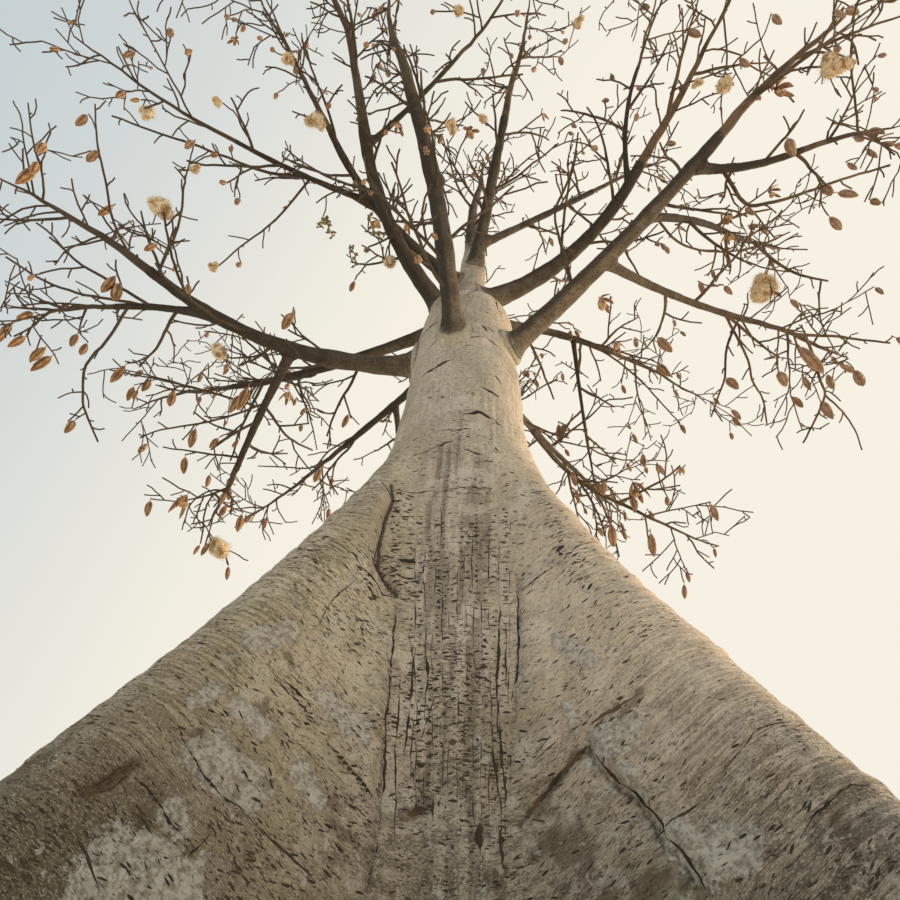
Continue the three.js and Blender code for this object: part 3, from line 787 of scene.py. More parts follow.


# Creases: slits and wrinkles where the thin bark has torn or puckered as the wood swelled under it, wider
# cracks that have weathered brown, and rows of short cork scars. Each is a thin dark lip sunk in the bark.
# The slits, all but black, painted shade deep in each tear: the pixels that each is seen through, and its
# width
slits_seen = [
    ([(386, 518), (382, 535), (375, 556), (376, 562), (380, 573), (388, 577)], 0.016),
    ([(334, 541), (354, 555), (362, 570), (375, 584), (382, 596), (402, 595)], 0.010),
    ([(375, 556), (378, 568), (387, 577)], 0.034), ([(556, 546), (564, 554)], 0.050),
    ([(339, 560), (357, 581)], 0.006), ([(354, 581), (340, 592), (332, 600), (318, 626)], 0.006),
    ([(399, 560), (407, 561), (416, 562)], 0.040), ([(401, 578), (412, 576), (421, 574)], 0.024),
    ([(402, 584), (422, 579)], 0.007), ([(381, 481), (392, 497), (403, 503)], 0.011),
    ([(397, 610), (394, 635), (393, 655), (391, 675), (389, 700)], 0.017),
    ([(391, 675), (389, 700), (386, 715), (387, 740), (385, 790), (381, 820), (377, 850), (370, 873)],
     0.015),
    ([(500, 600), (498, 640), (497, 680), (499, 723), (504, 780), (507, 835)], 0.013),
    ([(408, 631), (413, 660), (410, 709), (404, 760)], 0.008),
    ([(426, 620), (428, 680), (424, 720)], 0.007),
    ([(401, 675), (397, 722), (396, 750), (396, 802), (394, 840)], 0.007),
    ([(414, 722), (411, 757), (414, 780)], 0.007), ([(435, 697), (425, 727), (420, 740)], 0.009),
    ([(516, 580), (517, 620), (518, 640), (516, 675), (512, 700)], 0.016),
    ([(505, 622), (506, 685)], 0.007), ([(490, 722), (495, 760), (500, 800), (502, 830)], 0.009),
    ([(500, 722), (502, 760)], 0.006), ([(521, 590), (534, 580), (547, 571), (560, 561)], 0.011),
    ([(572, 551), (582, 544), (597, 541)], 0.009), ([(407, 493), (420, 493), (433, 491)], 0.009),
    ([(440, 492), (455, 489), (475, 487), (486, 491)], 0.010), ([(520, 495), (528, 497)], 0.009),
    ([(530, 494), (545, 492)], 0.008),
    ([(277, 680), (290, 692), (300, 700), (310, 710), (321, 725)], 0.016),
    ([(284, 678), (296, 688), (312, 703)], 0.006),
    ([(330, 741), (345, 757), (355, 770), (370, 790), (379, 797)], 0.019),
    ([(180, 737), (192, 752), (204, 775), (215, 787), (230, 800), (247, 814)], 0.010),
    ([(247, 814), (270, 837), (287, 852), (305, 870), (315, 880)], 0.008),
    ([(136, 775), (147, 787), (160, 805), (170, 822), (180, 830)], 0.010),
    ([(140, 815), (150, 835)], 0.008), ([(75, 832), (85, 850), (100, 890)], 0.006),
    ([(555, 740), (535, 760)], 0.006), ([(550, 735), (530, 756)], 0.005),
    # Painted shadow along the lower edge of the lichen crust
    ([(590, 747), (602, 765), (617, 780), (637, 793), (645, 805), (655, 815), (662, 825), (665, 838)],
     0.017),
    ([(665, 838), (680, 850), (700, 875), (705, 890)], 0.017),
    ([(668, 825), (687, 812), (700, 803)], 0.007),
    ([(725, 770), (745, 745), (755, 730), (790, 722)], 0.006),
    ([(800, 837), (815, 815), (830, 800), (850, 785), (870, 785)], 0.010),
    ([(502, 827), (503, 864)], 0.034), ([(421, 377), (435, 367), (443, 362), (452, 359)], 0.031),
    ([(422, 337), (430, 327), (438, 322)], 0.027), ([(430, 346), (437, 338)], 0.027),
    ([(482, 325), (487, 332)], 0.020), ([(487, 327), (495, 333)], 0.020),
    ([(495, 376), (502, 384)], 0.020), ([(482, 387), (490, 391), (499, 398)], 0.023),
    ([(462, 414), (478, 413), (490, 417), (503, 427)], 0.029),
    ([(442, 432), (455, 430), (470, 430)], 0.018),
    ([(413, 456), (425, 452), (437, 448), (447, 443), (452, 442)], 0.020),
    ([(463, 450), (473, 452), (482, 455)], 0.018), ([(495, 448), (499, 452)], 0.018),
    ([(440, 397), (444, 395)], 0.018),
    # Painted shadow under the shoulder, where the trunk draws in to its neck
    ([(468, 294), (480, 293), (490, 297), (497, 305), (502, 317)], 0.029),
    ([(470, 340), (487, 341), (497, 347), (503, 355)], 0.032),
    ([(450, 333), (458, 331), (470, 331), (478, 334)], 0.020),
    ([(92, 793), (110, 789), (121, 778), (134, 766)], 0.012),
    ([(91, 787), (108, 778), (117, 768), (132, 763)], 0.007),
]
# The wider cracks, in the same way
gashes_seen = [
    ([(582, 742), (570, 757), (552, 778), (537, 795), (525, 815)], 0.030),
    ([(481, 822), (482, 858)], 0.026),
    ([(82, 794), (100, 792), (110, 777), (122, 769), (136, 762)], 0.012),
    ([(190, 857), (210, 832)], 0.012), ([(407, 813), (428, 806)], 0.022),
    ([(592, 726), (606, 714), (622, 708)], 0.012), ([(600, 716), (634, 697)], 0.010),
]
crease_sides = [(-1, -0.5), (-0.5, 0.75), (0.3, 1.0), (1, -0.5), (0.4, -1.2), (-0.4, -1.2)]
crease_rise = 0.003
least_half = 0.0012
smooth_above_row = 460


def crease_rings(pixels, width, seed):
    """Rings of points round a crease that lies on the bark: thin ends, a ragged width, sunk underneath."""
    spots, steps = traced(pixels)
    places, normals = sampled(bark_points, spots), sampled(bark_normals, spots)
    line = np.stack([steps, 0 * steps, 0 * steps], axis=-1)
    ragged = lumps(line, 0.07, seed)
    wavy = lumps(line, 0.10, seed + 1)
    frayed = lumps(line, 0.03, seed + 2) * (0.2 if pixels[0][1] < smooth_above_row else 1.0)
    across = np.cross(normals, np.gradient(places, axis=0))
    across /= np.linalg.norm(across, axis=1, keepdims=True)
    share = np.clip(steps / steps[-1], 0.02, 0.98)
    half = width * np.sin(math.pi * share) ** 0.6 * (0.8 + 0.7 * ragged + 0.5 * frayed)
    half = np.maximum(half, least_half)[:, None]
    middle = places + across * ((0.35 * width + 0.004) * wavy + 0.3 * width * frayed)[:, None]
    return [middle + across * half * aside + normals * crease_rise * up for aside, up in crease_sides]


def crease_piece(name, creases, finish):
    """One piece of many creases, each given by its pixels and width."""
    points, faces = [], []
    for place, (pixels, width) in enumerate(creases):
        one = np.stack(crease_rings(pixels, width, 51 + 2 * place), axis=1)
        faces.extend(ring_faces(len(one), len(crease_sides), sum(len(part) for part in points)))
        points.append(one.reshape(-1, 3))
    piece = mesh_piece(name, np.concatenate(points), faces, finish)
    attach(piece, "root")


def seeded_random(seed):
    """The Park and Miller generator: the same seed always grows the same tree."""
    state = seed
    while True:
        state = state * 16807 % 2147483647
        yield state / 2147483647


# On the face the marks stand in columns, one short dash above another, with a thin broken furrow beside each
dash_columns = [411, 420, 429, 437, 445, 453, 461, 469, 477, 485, 494, 505]
top_row, foot_row = 506, 820
dash_seed = 2609
draws = seeded_random(dash_seed)


def dash(row, middle, half, tilt):
    """A short dash: the pixels of its two ends, and its width."""
    return [(middle - half, row - tilt), (middle + half, row + tilt)], 0.006 + 0.010 * next(draws)


dashes = []
for column in dash_columns:
    row = top_row + 30 * next(draws)
    while row < foot_row:
        half = 1.0 + 3.2 * next(draws) ** 1.5
        middle = column + 3.5 * (next(draws) - 0.5)
        dashes.append(dash(row, middle, half, 0.6 * half * (next(draws) - 0.5)))
        row += 3.5 + 9 * next(draws) ** 2 + 0.02 * (row - top_row)
    row = top_row + 60 * next(draws)
    while row < foot_row - 20:
        end = min(row + 15 + 45 * next(draws), foot_row)
        aside = column + 4.5 + 2 * (next(draws) - 0.5)
        bend = aside + 3 * (next(draws) - 0.5)
        furrow = [(aside, row), (bend, (row + end) / 2), (aside, end)]
        dashes.append((furrow, 0.0035 + 0.0035 * next(draws)))
        row = end + 8 + 40 * next(draws)
# Scars crowd the deep fold beside the left fin, from its top to its foot
fold_columns, fold_rows = np.transpose(forms_seen[0][0])
row, fold_foot = 490, 600
while row < fold_foot:
    middle = float(np.interp(row, fold_rows, fold_columns)) + 2 + 17 * next(draws)
    half = 1.5 + 3.5 * next(draws)
    dashes.append(dash(row, middle, half, 2.4 * (next(draws) - 0.5)))
    row += 1.2 + 1.6 * next(draws)
crease_piece("creases", slits_seen, mark_finish("crease", paint(46, 37, 28), paint(66, 52, 38)))
crease_piece("gashes", gashes_seen, mark_finish("gash", paint(50, 40, 30), paint(100, 76, 49)))
crease_piece("dashes", dashes, mark_finish("dash", paint(64, 53, 41), paint(88, 73, 57)))

# Boughs: fourteen limbs leave the trunk, and fourteen forks leave those, each one tapering stick of soft
# wood with a swollen collar where it leaves what carries it. Their bark is darker than the trunk's, ringed
# near the collars.
boughs = {
    "left": (8.7, 193, 5.95, 2.05, -0.56, -0.6, 0.17, 0.056),
    "front": (6.6, 251.4, 3.29, 7.0, 0.3, 0.22, 0.148, 0.104),
    "front_left": (9.4, 238, 3.4, 4.0, 0.04, -0.54, 0.155, 0.082),
    "upper_left": (10.9, 222, 3.85, 2.9, 0.02, -0.44, 0.14, 0.042),
    "upper_right": (11.3, 289, 2.5, 3.7, 0.13, 0.02, 0.132, 0.066),
    "upper_back": (10.9, 78, 2.9, 3.5, 0.15, 0.16, 0.105, 0.048),
    "leader": (11.95, 310, 0.45, 3.5, 0.04, -0.16, 0.128, 0.056),
    "right_inner": (10.35, 324, 4.1, 2.4, -0.1, 0.62, 0.165, 0.076),
    "right_front": (8.0, 326, 5.45, 3.65, -0.08, 0.14, 0.158, 0.074),
    "right_back": (9.85, 30, 3.9, 1.85, 0.2, -0.09, 0.088, 0.046),
    "back_right": (9.0, 56, 5.2, 1.4, 0.09, 0.15, 0.08, 0.036),
    "back": (9.7, 97, 4.9, 2.3, 0.3, -0.2, 0.12, 0.05),
    "back_left": (9.25, 130, 4.9, 1.05, 0.7, -0.35, 0.105, 0.046),
    "left_back": (10.0, 160, 5.35, 0.6, -0.7, 0.15, 0.115, 0.038),
}
bough_words = ("height", "bearing", "reach", "rise", "arch", "sweep", "thick", "thin")
forks = {
    "left_level": ("left", 0.61, 181, 2.05, 0.3, 0.13, 0.04, 0.068, 0.042),
    "left_low": ("left", 0.42, 120, 3.1, -0.25, 0.09, 0.03, 0.074, 0.048),
    "front_cross": ("front_left", 0.74, 325, 2.2, 2.0, 0.15, 0.06, 0.054, 0.032),
    "upper_left_low": ("upper_left", 0.51, 205, 2.9, 0.05, -0.04, -0.07, 0.058, 0.034),
    "upper_right_side": ("upper_right", 0.16, 352, 2.8, 2.3, -0.07, -0.01, 0.072, 0.048),
    "right_inner_high": ("right_inner", 0.74, 284, 1.75, 2.0, 0.02, -0.19, 0.046, 0.028),
    "right_out": ("right_front", 0.72, 356, 2.25, 0.82, 0.09, 0.18, 0.074, 0.05),
    "right_low": ("right_front", 0.42, 23, 3.45, 0.52, 0.09, 0.14, 0.07, 0.044),
    "right_mid": ("right_front", 0.56, 25, 2.7, 2.05, 0.1, -0.1, 0.066, 0.044),
    "right_back_low": ("right_back", 0.58, 80, 1.7, -1.65, 0.2, 0, 0.04, 0.026, 1.5),
    "back_right_low": ("back_right", 0.47, 30, 2.35, -0.95, 0.02, 0.29, 0.046, 0.034, 1.9),
    "back_high": ("back", 0.5, 60, 1.9, 2.3, 0.1, 0.12, 0.06, 0.038),
    "back_low": ("back_left", 0.5, 95, 2.3, -0.7, 0.2, -0.1, 0.054, 0.036),
    "left_back_high": ("left_back", 0.5, 135, 2.3, 2.1, 0.06, -0.12, 0.06, 0.038),
}
fork_words = ("from", "at", "bearing", "reach", "rise", "arch", "sweep", "thick", "thin", "spray")
limb_shape = {"taper": 0.85, "collar": 0.32, "collar_run": 0.24, "bough_end": 0.82, "fork_end": 0.85}


class Limb:
    """A limb's middle line and its radius along it. Shares run from 0, where it starts, to 1."""

    def __init__(self, name, sizes, start, seat):
        self.name = name
        self.sizes = sizes
        self.start = start
        self.seat = seat
        bearing = math.radians(sizes["bearing"])
        aside = np.array([-math.sin(bearing), math.cos(bearing), 0])
        ahead = np.array([math.cos(bearing), math.sin(bearing), 0])
        self.run = sizes["reach"] * ahead + sizes["rise"] * upward
        self.bow = sizes["sweep"] * aside + sizes["arch"] * upward
        self.length = step_lengths(self.at(np.linspace(0, 1, 201))).sum()
        self.is_fork = "from" in sizes
        self.end = limb_shape["fork_end" if self.is_fork else "bough_end"]

    def at(self, share):
        share = np.asarray(share, float)[..., None]
        return self.start + self.run * share + self.bow * 4 * share * (1 - share)

    def radius(self, share):
        run = np.asarray(share, float) ** limb_shape["taper"]
        tapered = lerp(self.sizes["thick"], self.sizes["thin"], run)
        clear = np.maximum(share * self.length - self.seat, 0)
        return tapered * (1 + limb_shape["collar"] * np.exp(-clear / limb_shape["collar_run"]))


limbs = {}
for name, values in boughs.items():
    sizes = dict(zip(bough_words, values))
    seat = float(column_radius(sizes["height"]))
    limbs[name] = Limb(name, sizes, trunk_middle(sizes["height"]), seat)
for name, values in forks.items():
    sizes = dict(zip(fork_words, values))
    parent = limbs[sizes["from"]]
    limbs[name] = Limb(name, sizes, parent.at(sizes["at"]), float(parent.radius(sizes["at"])))


def unit(vector):
    return vector / np.linalg.norm(vector)


def square_to(direction):
    """A direction square to the given one."""
    reference = upward if abs(direction[2]) < 0.9 else np.array([1.0, 0, 0])
    return unit(np.cross(direction, reference))


def carried_frames(points):
    """Two directions square to a path at each of its points, carried along it without twist."""
    along = np.gradient(points, axis=0)
    along /= np.linalg.norm(along, axis=1, keepdims=True)
    across = [square_to(along[0])]
    for direction in along[1:]:
        across.append(unit(across[-1] - direction * np.dot(across[-1], direction)))
    across = np.array(across)
    return across, np.cross(along, across)


def gap_to_trunk(points):
    away = np.linalg.norm(points - trunk_middle(points[..., 2]), axis=-1)
    return away - column_radius(points[..., 2])


def gap_to_carrier(limb, points):
    """How far points lie outside the trunk or the limb that carries this one."""
    if not limb.is_fork:
        return gap_to_trunk(points)
    parent = limbs[limb.sizes["from"]]
    shares = np.clip(limb.sizes["at"] + np.linspace(-0.3, 0.3, 61), 0, 1)
    away = np.linalg.norm(points[..., None, :] - parent.at(shares), axis=-1) - parent.radius(shares)
    return away.min(axis=-1)


# Swollen knots where side limbs have died back: the pixel of each, its half width and how far it stands out
knots_seen = {"front": [((450, 178), 0.11, 0.060)], "upper_left": [((388, 236), 0.09, 0.045)]}
# In thicknesses of the limb: how far its collar and the wrinkles round it run and how far they stand out, and
# the size and height of the bark's lumps
limb_relief = {
    "collar_run": 0.55, "collar_spread": 0.90, "low_side_spread": 0.30, "wrinkle_gap": 0.085,
    "wrinkle_run": 1.1, "wrinkle_rise": 0.08, "broad_size": 2.6, "broad_rise": 0.08, "small_size": 0.8,
    "small_rise": 0.045,
}
# How far from the trunk's skin the limbs keep its tones, at the collar's pale rim and altogether
rim_run, trunk_tone_run = 0.07, 1.1


def limb_piece(limb, finish):
    """A limb's bark: its collar spreads into what carries it, with wrinkles round it, and it is lumpy."""
    sides = 14 if limb.is_fork else 30
    near_gap, far_gap, near_run = 0.020, 0.050, 1.3
    run = np.concatenate([
        np.arange(0, near_run, near_gap), np.arange(near_run, limb.length * limb.end, far_gap),
    ])
    shares = np.append(run / limb.length, limb.end)
    middle = limb.at(shares)
    across, other = carried_frames(middle)
    turns = full_turn(sides)[None, :, None]
    outward = across[:, None] * np.cos(turns) + other[:, None] * np.sin(turns)
    thick = limb.sizes["thick"]
    shape = limb_relief
    surface = middle[:, None] + outward * limb.radius(shares)[:, None, None]
    gap = np.maximum(gap_to_carrier(limb, surface), 0)
    sunk = np.maximum(-gap_to_carrier(limb, middle), 0)[:, None]
    close = np.exp(-gap / (shape["collar_run"] * thick) - sunk / thick)
    low_side = smooth_step(0.5, -0.9, outward[..., 2])
    spread = (shape["collar_spread"] + shape["low_side_spread"] * low_side) * close ** 1.8
    ripple = np.sin(gap / (shape["wrinkle_gap"] * thick) + 2 * lumps(surface, 1.2 * thick, 5))
    wrinkle = ripple * np.exp(-gap / (shape["wrinkle_run"] * thick)) * np.sqrt(close)
    relief = shape["broad_rise"] * lumps(surface, shape["broad_size"] * thick, 1)
    relief = relief + shape["small_rise"] * lumps(surface, shape["small_size"] * thick, 2)
    relief = relief + shape["wrinkle_rise"] * wrinkle
    # A bough's collar runs out flat over the trunk
    on_trunk = 0 if limb.is_fork else 1
    trunk_gap = np.maximum(gap_to_trunk(surface), 0)
    from_trunk = surface - trunk_middle(surface[..., 2])
    from_trunk /= np.linalg.norm(from_trunk, axis=-1, keepdims=True)
    lifted = np.maximum((outward * from_trunk).sum(-1), 0) * close * on_trunk
    flat = outward - from_trunk * lifted[..., None]
    surface = surface + flat * (spread * thick)[..., None] + outward * (relief * thick)[..., None]
    for pixel, size, rise in knots_seen.get(limb.name, []):
        nearest = np.argmin(np.linalg.norm(seen_at(surface) - np.array(pixel), axis=-1))
        away = np.linalg.norm(surface - surface.reshape(-1, 3)[nearest], axis=-1)
        surface = surface + outward * (rise * np.exp(-(away / size) ** 2))[..., None]
    faces = ring_faces(len(shares), sides)
    piece = mesh_piece("limb_" + limb.name, surface.reshape(-1, 3), faces, finish)
    store(piece, "collar", np.exp(-gap / rim_run).ravel() * on_trunk)
    store(piece, "near_trunk", np.exp(-trunk_gap / trunk_tone_run).ravel())
    # The wrinkles' troughs, which the finish darkens with painted shade
    store(piece, "wrinkle", np.clip(-wrinkle, 0, 1).ravel())
    # The side turned from the sun, which the finish darkens with painted shade
    store(piece, "shaded", smooth_step(0.3, -0.9, outward[..., 0] + 0.2 * outward[..., 1]).ravel())
    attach(piece, "root")
    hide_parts("bough_" + limb.name)


def limb_finish():
    """Brown-grey bark, speckled and flecked, with painted light and shade, pale as the trunk at its collar.
    """
    limb = Finish("limb bark", 0.9)
    cloud = limb.noise(0.22, 4.0).step(0.38, 0.62)
    # Painted sunlight: the lower limbs on the right are lighter and warmer
    painted_sunlight = limb.axis("X").step(0.3, 1.6) * limb.axis("Z").step(10.8, 9.4)
    brown = cloud.blend(paint(72, 62, 48), paint(56, 47, 36))
    limb.colour = painted_sunlight.blend(brown, cloud.blend(paint(138, 119, 95), paint(112, 95, 74)))
    inner = cloud.blend(paint(150, 134, 110), paint(116, 101, 81))
    limb.colour = (limb.number("near_trunk") * 0.75).blend(limb.colour, inner)
    # Painted shade on the side turned from the sun, in ragged clouds
    painted_limb_shade = limb.number("shaded") + limb.noise(0.25, 4.0, 0.6, 3.0) * 0.7
    limb.coat(painted_limb_shade.step(0.45, 1.15) * 0.85, 52, 44, 32)
    fine = limb.noise(0.028, 4.0, 0.65, 5.0).step(0.46, 0.60)
    limb.coat(fine * 0.6, 62, 52, 40)
    limb.coat(limb.noise(0.040, 3.0, 0.6, 9.0).step(0.58, 0.66) * 0.16, 154, 139, 115)
    pale = limb.number("collar") * 1.4 + limb.noise(0.09, 4.0, 0.6, 13.0) * 0.6 - 0.35
    worn = (fine * 0.5).blend(paint(190, 177, 156), paint(128, 114, 94))
    limb.colour = pale.step(0.25, 0.85).blend(limb.colour, worn)
    # Painted shade in the troughs of the collar's wrinkles
    limb.coat(limb.number("wrinkle").step(0.10, 0.45) * 0.70, 62, 52, 39)
    raised = fine * 1.0 + limb.noise(0.012, 3.0, 0.6, 15.0)
    limb.feed(Base_Color=limb.colour, Normal=limb.bump(raised, 0.5, 0.005))
    return limb.material


limb_material = limb_finish()
for limb in limbs.values():
    limb_piece(limb, limb_material)

# Twigs: at each limb's tip its stem runs on, shoots leave the stem and twigs leave the shoots, each turned
# round its parent by the same angle from the last. They are grey-brown wood, a little crooked, with short
# blunt spurs.
crown_centre = np.array([0.2, -0.3, 11.6])
crown_half = np.array([7.7, 7.5, 6.0])
growth = {
    "seed": 8191, "seed_step": 15485863, "turn": 137.5, "turn_spread": 30, "length_spread": 0.3,
    "bough_stem": 3.5, "fork_stem": 2.9, "stem_fade": 0.5, "cell_margin": 0.025, "limb_margin": 0.025,
}
tries = [(0, 1), (110, 1), (-110, 0.9), (180, 0.8), (0, 0.6), (140, 0.5)]
levels = [
    {"joints": 4, "thin": 0.013, "drift": 0.15, "lift": 0.05},
    {"joints": 2, "share": 0.48, "angle": 50, "tip_angle": 32, "thin": 0.010, "drift": 0.16, "lift": 0.07,
     "thickness": 0.6},
    {"joints": 1, "share": 0.5, "angle": 52, "tip_angle": 30, "thin": 0.007, "drift": 0, "lift": 0,
     "thickness": 0.7},
]
pod_size = {"length": 0.36, "radius": 0.062, "stalk": 0.07, "chance": 0.32, "most": 4}
ball_spacing = 0.09
stem_gap = 0.0003


def fill_with_balls():
    """Balls that fill the trunk and the limbs, which no twig may touch: middles, radii and whose they are."""
    centres, radii, owners = [], [], []
    height = trunk["column_top"]
    while height <= trunk["fork_height"]:
        centres.append(trunk_middle(height))
        radii.append(float(column_radius(height)))
        owners.append("trunk")
        height += ball_spacing
    for limb in limbs.values():
        count = math.ceil(limb.length * limb.end / ball_spacing)
        shares = limb.end * np.arange(count + 1) / count
        centres.extend(limb.at(shares))
        radii.extend(limb.radius(shares))
        owners.extend([limb.name] * (count + 1))
    return np.array(centres), np.array(radii), np.array(owners)


ball_centres, ball_radii, ball_owners = fill_with_balls()


class Mass:
    """One mass of twigs: where its stem starts and the straight run that its space lies round."""

    def __init__(self, limb, place):
        steps = 4 if limb.is_fork else 7
        tip = limb.at(limb.end)
        self.limb = limb
        self.heading = unit(tip - limb.at(limb.end * (steps - 1) / steps))
        self.length = limb.sizes.get("spray", growth["fork_stem" if limb.is_fork else "bough_stem"])
        self.start = tip + self.heading * stem_gap
        self.end = self.start + self.heading * self.length
        self.thick = float(limb.radius(limb.end))
        self.seed = growth["seed"] + growth["seed_step"] * place
        self.place = place


masses = [Mass(limb, place) for place, limb in enumerate(limbs.values())]
run_starts = np.array([mass.start for mass in masses])
run_ways = np.array([mass.end - mass.start for mass in masses])


def inside_space(point, room, mass):
    """A mass's own space is the part of the crown that lies nearer to its run than to any other mass's."""
    if (((point - crown_centre) / (crown_half - room)) ** 2).sum() > 1:
        return False
    shares = ((point - run_starts) * run_ways).sum(1) / (run_ways ** 2).sum(1)
    nearest = run_starts + run_ways * np.clip(shares, 0, 1)[:, None]
    distances = np.linalg.norm(point - nearest, axis=1)
    others = np.delete(distances, mass.place)
    return (others > distances[mass.place] + 2 * (room + growth["cell_margin"])).all()


def clear_of_limbs(start, end, room, spared):
    way = end - start
    shares = np.clip((ball_centres - start) @ way / max(way @ way, 1e-12), 0, 1)
    distances = np.linalg.norm(start + shares[:, None] * way - ball_centres, axis=1)
    fits = distances > ball_radii + room + growth["limb_margin"]
    return bool((fits | (ball_owners == spared)).all())


def branch_fits(points, radii, mass, spared=""):
    for joint, (point, room) in enumerate(zip(points, radii)):
        before = points[max(joint - 1, 0)]
        if not (inside_space(point, room, mass) and inside_space((before + point) / 2, room, mass)):
            return False
        if joint and not clear_of_limbs(before, point, room, spared):
            return False
    return True


def shake(draws):
    """A random vector whose parts run from -0.5 to 0.5."""
    return np.array([next(draws) - 0.5 for _ in range(3)])


def draw_bends(level, draws):
    return [shake(draws) * 2 * level["drift"] for _ in range(level["joints"])]


def wander_on(start, heading, length, level, bends):
    """A path of even steps whose heading drifts and lifts a little at each joint."""
    points = [start]
    direction = heading
    for bend in bends:
        points.append(points[-1] + direction * length / level["joints"])
        direction = unit(direction + bend + upward * level["lift"])
    return points


def side_heading(along, angle, turn):
    """The heading of a side branch that leaves at an angle, turned round its parent."""
    side = square_to(along)
    swung = side * math.cos(math.radians(turn)) + np.cross(along, side) * math.sin(math.radians(turn))
    return along * math.cos(math.radians(angle)) + swung * math.sin(math.radians(angle))


def even_taper(thick, thin, joints):
    return [lerp(thick, thin, joint / joints) for joint in range(joints + 1)]


def grow_stem(mass, draws):
    level = levels[0]
    bends = draw_bends(level, draws)
    radii = even_taper(mass.thick, level["thin"], level["joints"])
    for _, trim in tries:
        points = wander_on(mass.start, mass.heading, mass.length * trim, level, bends)
        if branch_fits(points, radii, mass, mass.limb.name):
            return {"level": 0, "length": mass.length * trim, "points": points, "radii": radii}
    raise ValueError("no room for the stem at " + mass.limb.name)


def grow_side(parent, joint, turn, mass, draws):
    """A side branch at one joint of its parent, turned or cut shorter until it fits, or else skipped."""
    level = levels[parent["level"] + 1]
    bends = draw_bends(level, draws)
    vigour = 1 + growth["length_spread"] * (next(draws) - 0.5)
    count = len(parent["points"])
    fade = 1 - growth["stem_fade"] * (joint - 1) / (count - 1) if parent["level"] == 0 else 1
    along = unit(parent["points"][joint] - parent["points"][joint - 1])
    thick = max(parent["radii"][joint] * level["thickness"], level["thin"])
    angle = level["tip_angle"] if joint == count - 1 else level["angle"]
    radii = even_taper(thick, level["thin"], level["joints"])
    for swing, trim in tries:
        length = parent["length"] * level["share"] * vigour * fade * trim
        heading = side_heading(along, angle, turn + swing)
        points = wander_on(parent["points"][joint], heading, length, level, bends)
        if branch_fits(points, radii, mass):
            return [{"level": parent["level"] + 1, "length": length, "points": points, "radii": radii}]
    return []


def hang_pods(branches, mass, draws):
    """Pods hang under the ends of side branches, a few on each mass."""
    pods = []
    for branch in branches:
        if branch["level"] > 0:
            tip = branch["points"][-1]
            foot = tip - upward * (pod_size["stalk"] + pod_size["length"])
            wanted = next(draws) < pod_size["chance"] and len(pods) < pod_size["most"]
            if wanted and branch_fits([tip, foot], [pod_size["radius"]] * 2, mass):
                pods.append(tip)
    return pods


def grow_mass(mass):
    """The branches of one mass, from its stem outward, and the places of its pods."""
    draws = seeded_random(mass.seed)
    branches = [grow_stem(mass, draws)]
    for parent in branches:
        if parent["level"] + 1 < len(levels):
            first_turn = 360 * next(draws)
            for joint in range(1, len(parent["points"])):
                turn = first_turn + growth["turn"] * joint + growth["turn_spread"] * (next(draws) - 0.5)
                branches.extend(grow_side(parent, joint, turn, mass, draws))
    return branches, hang_pods(branches, mass, draws)


# The twigs too fine for the solids: they leave limbs, stems and shoots in turn, at short uneven steps
side_shoots = {
    "gap": 0.50, "first": 0.36, "length": 1.75, "angle": 52, "joints": 6, "thick": 0.028, "thin": 0.015,
    "drift": 0.17, "lift": 0.03,
}
fine_levels = [
    {"gap": 0.40, "first": 0.16, "length": 0.80, "angle": 50, "joints": 4, "thick": 0.0175, "thin": 0.0130,
     "drift": 0.28, "lift": 0.05},
    {"gap": 0.34, "first": 0.25, "length": 0.36, "angle": 50, "joints": 3, "thick": 0.0130, "thin": 0.0110,
     "drift": 0.34, "lift": 0.05},
]
spur_gap = 0.75
spur_length = 0.05
least_radius = 0.011
box_margin = 0.03
reach_low = np.array(solid_box[0]) + box_margin
reach_high = np.array(solid_box[1]) - box_margin


def sample_path(points, radii, share):
    """The place, the heading and the radius at a share of a path's length."""
    steps = step_lengths(points)
    run = distance_along(points)
    wanted = share * run[-1]
    step = min(int(np.searchsorted(run, wanted, side="right")) - 1, len(steps) - 1)
    part = (wanted - run[step]) / steps[step]
    heading = (points[step + 1] - points[step]) / steps[step]
    return lerp(points[step], points[step + 1], part), heading, lerp(radii[step], radii[step + 1], part)


def crooked(points, radii, draws, parts=4, kink=0.13):
    """A path through the given points, rounded at its joints and a little crooked between them."""
    points = np.array(points)
    ends = np.concatenate([[2 * points[0] - points[1]], points, [2 * points[-1] - points[-2]]])
    places, sizes = [points[0]], [radii[0]]
    for joint in range(len(points) - 1):
        first, second, third, fourth = ends[joint:joint + 4]
        for part in range(1, parts + 1):
            share = part / parts
            bend = third - first
            rise = 2 * first - 5 * second + 4 * third - fourth
            twist = 3 * second - first - 3 * third + fourth
            curve = (2 * second + bend * share + rise * share ** 2 + twist * share ** 3) / 2
            loose = 0 if part == parts else kink * np.linalg.norm(third - second) / parts
            places.append(curve + shake(draws) * loose)
            sizes.append(lerp(radii[joint], radii[joint + 1], share))
    return np.array(places), np.array(sizes)


def within_reach(points):
    inside = (((points - crown_centre) / crown_half) ** 2).sum(1) < 1
    return bool((inside & (points > reach_low).all(1) & (points < reach_high).all(1)).all())


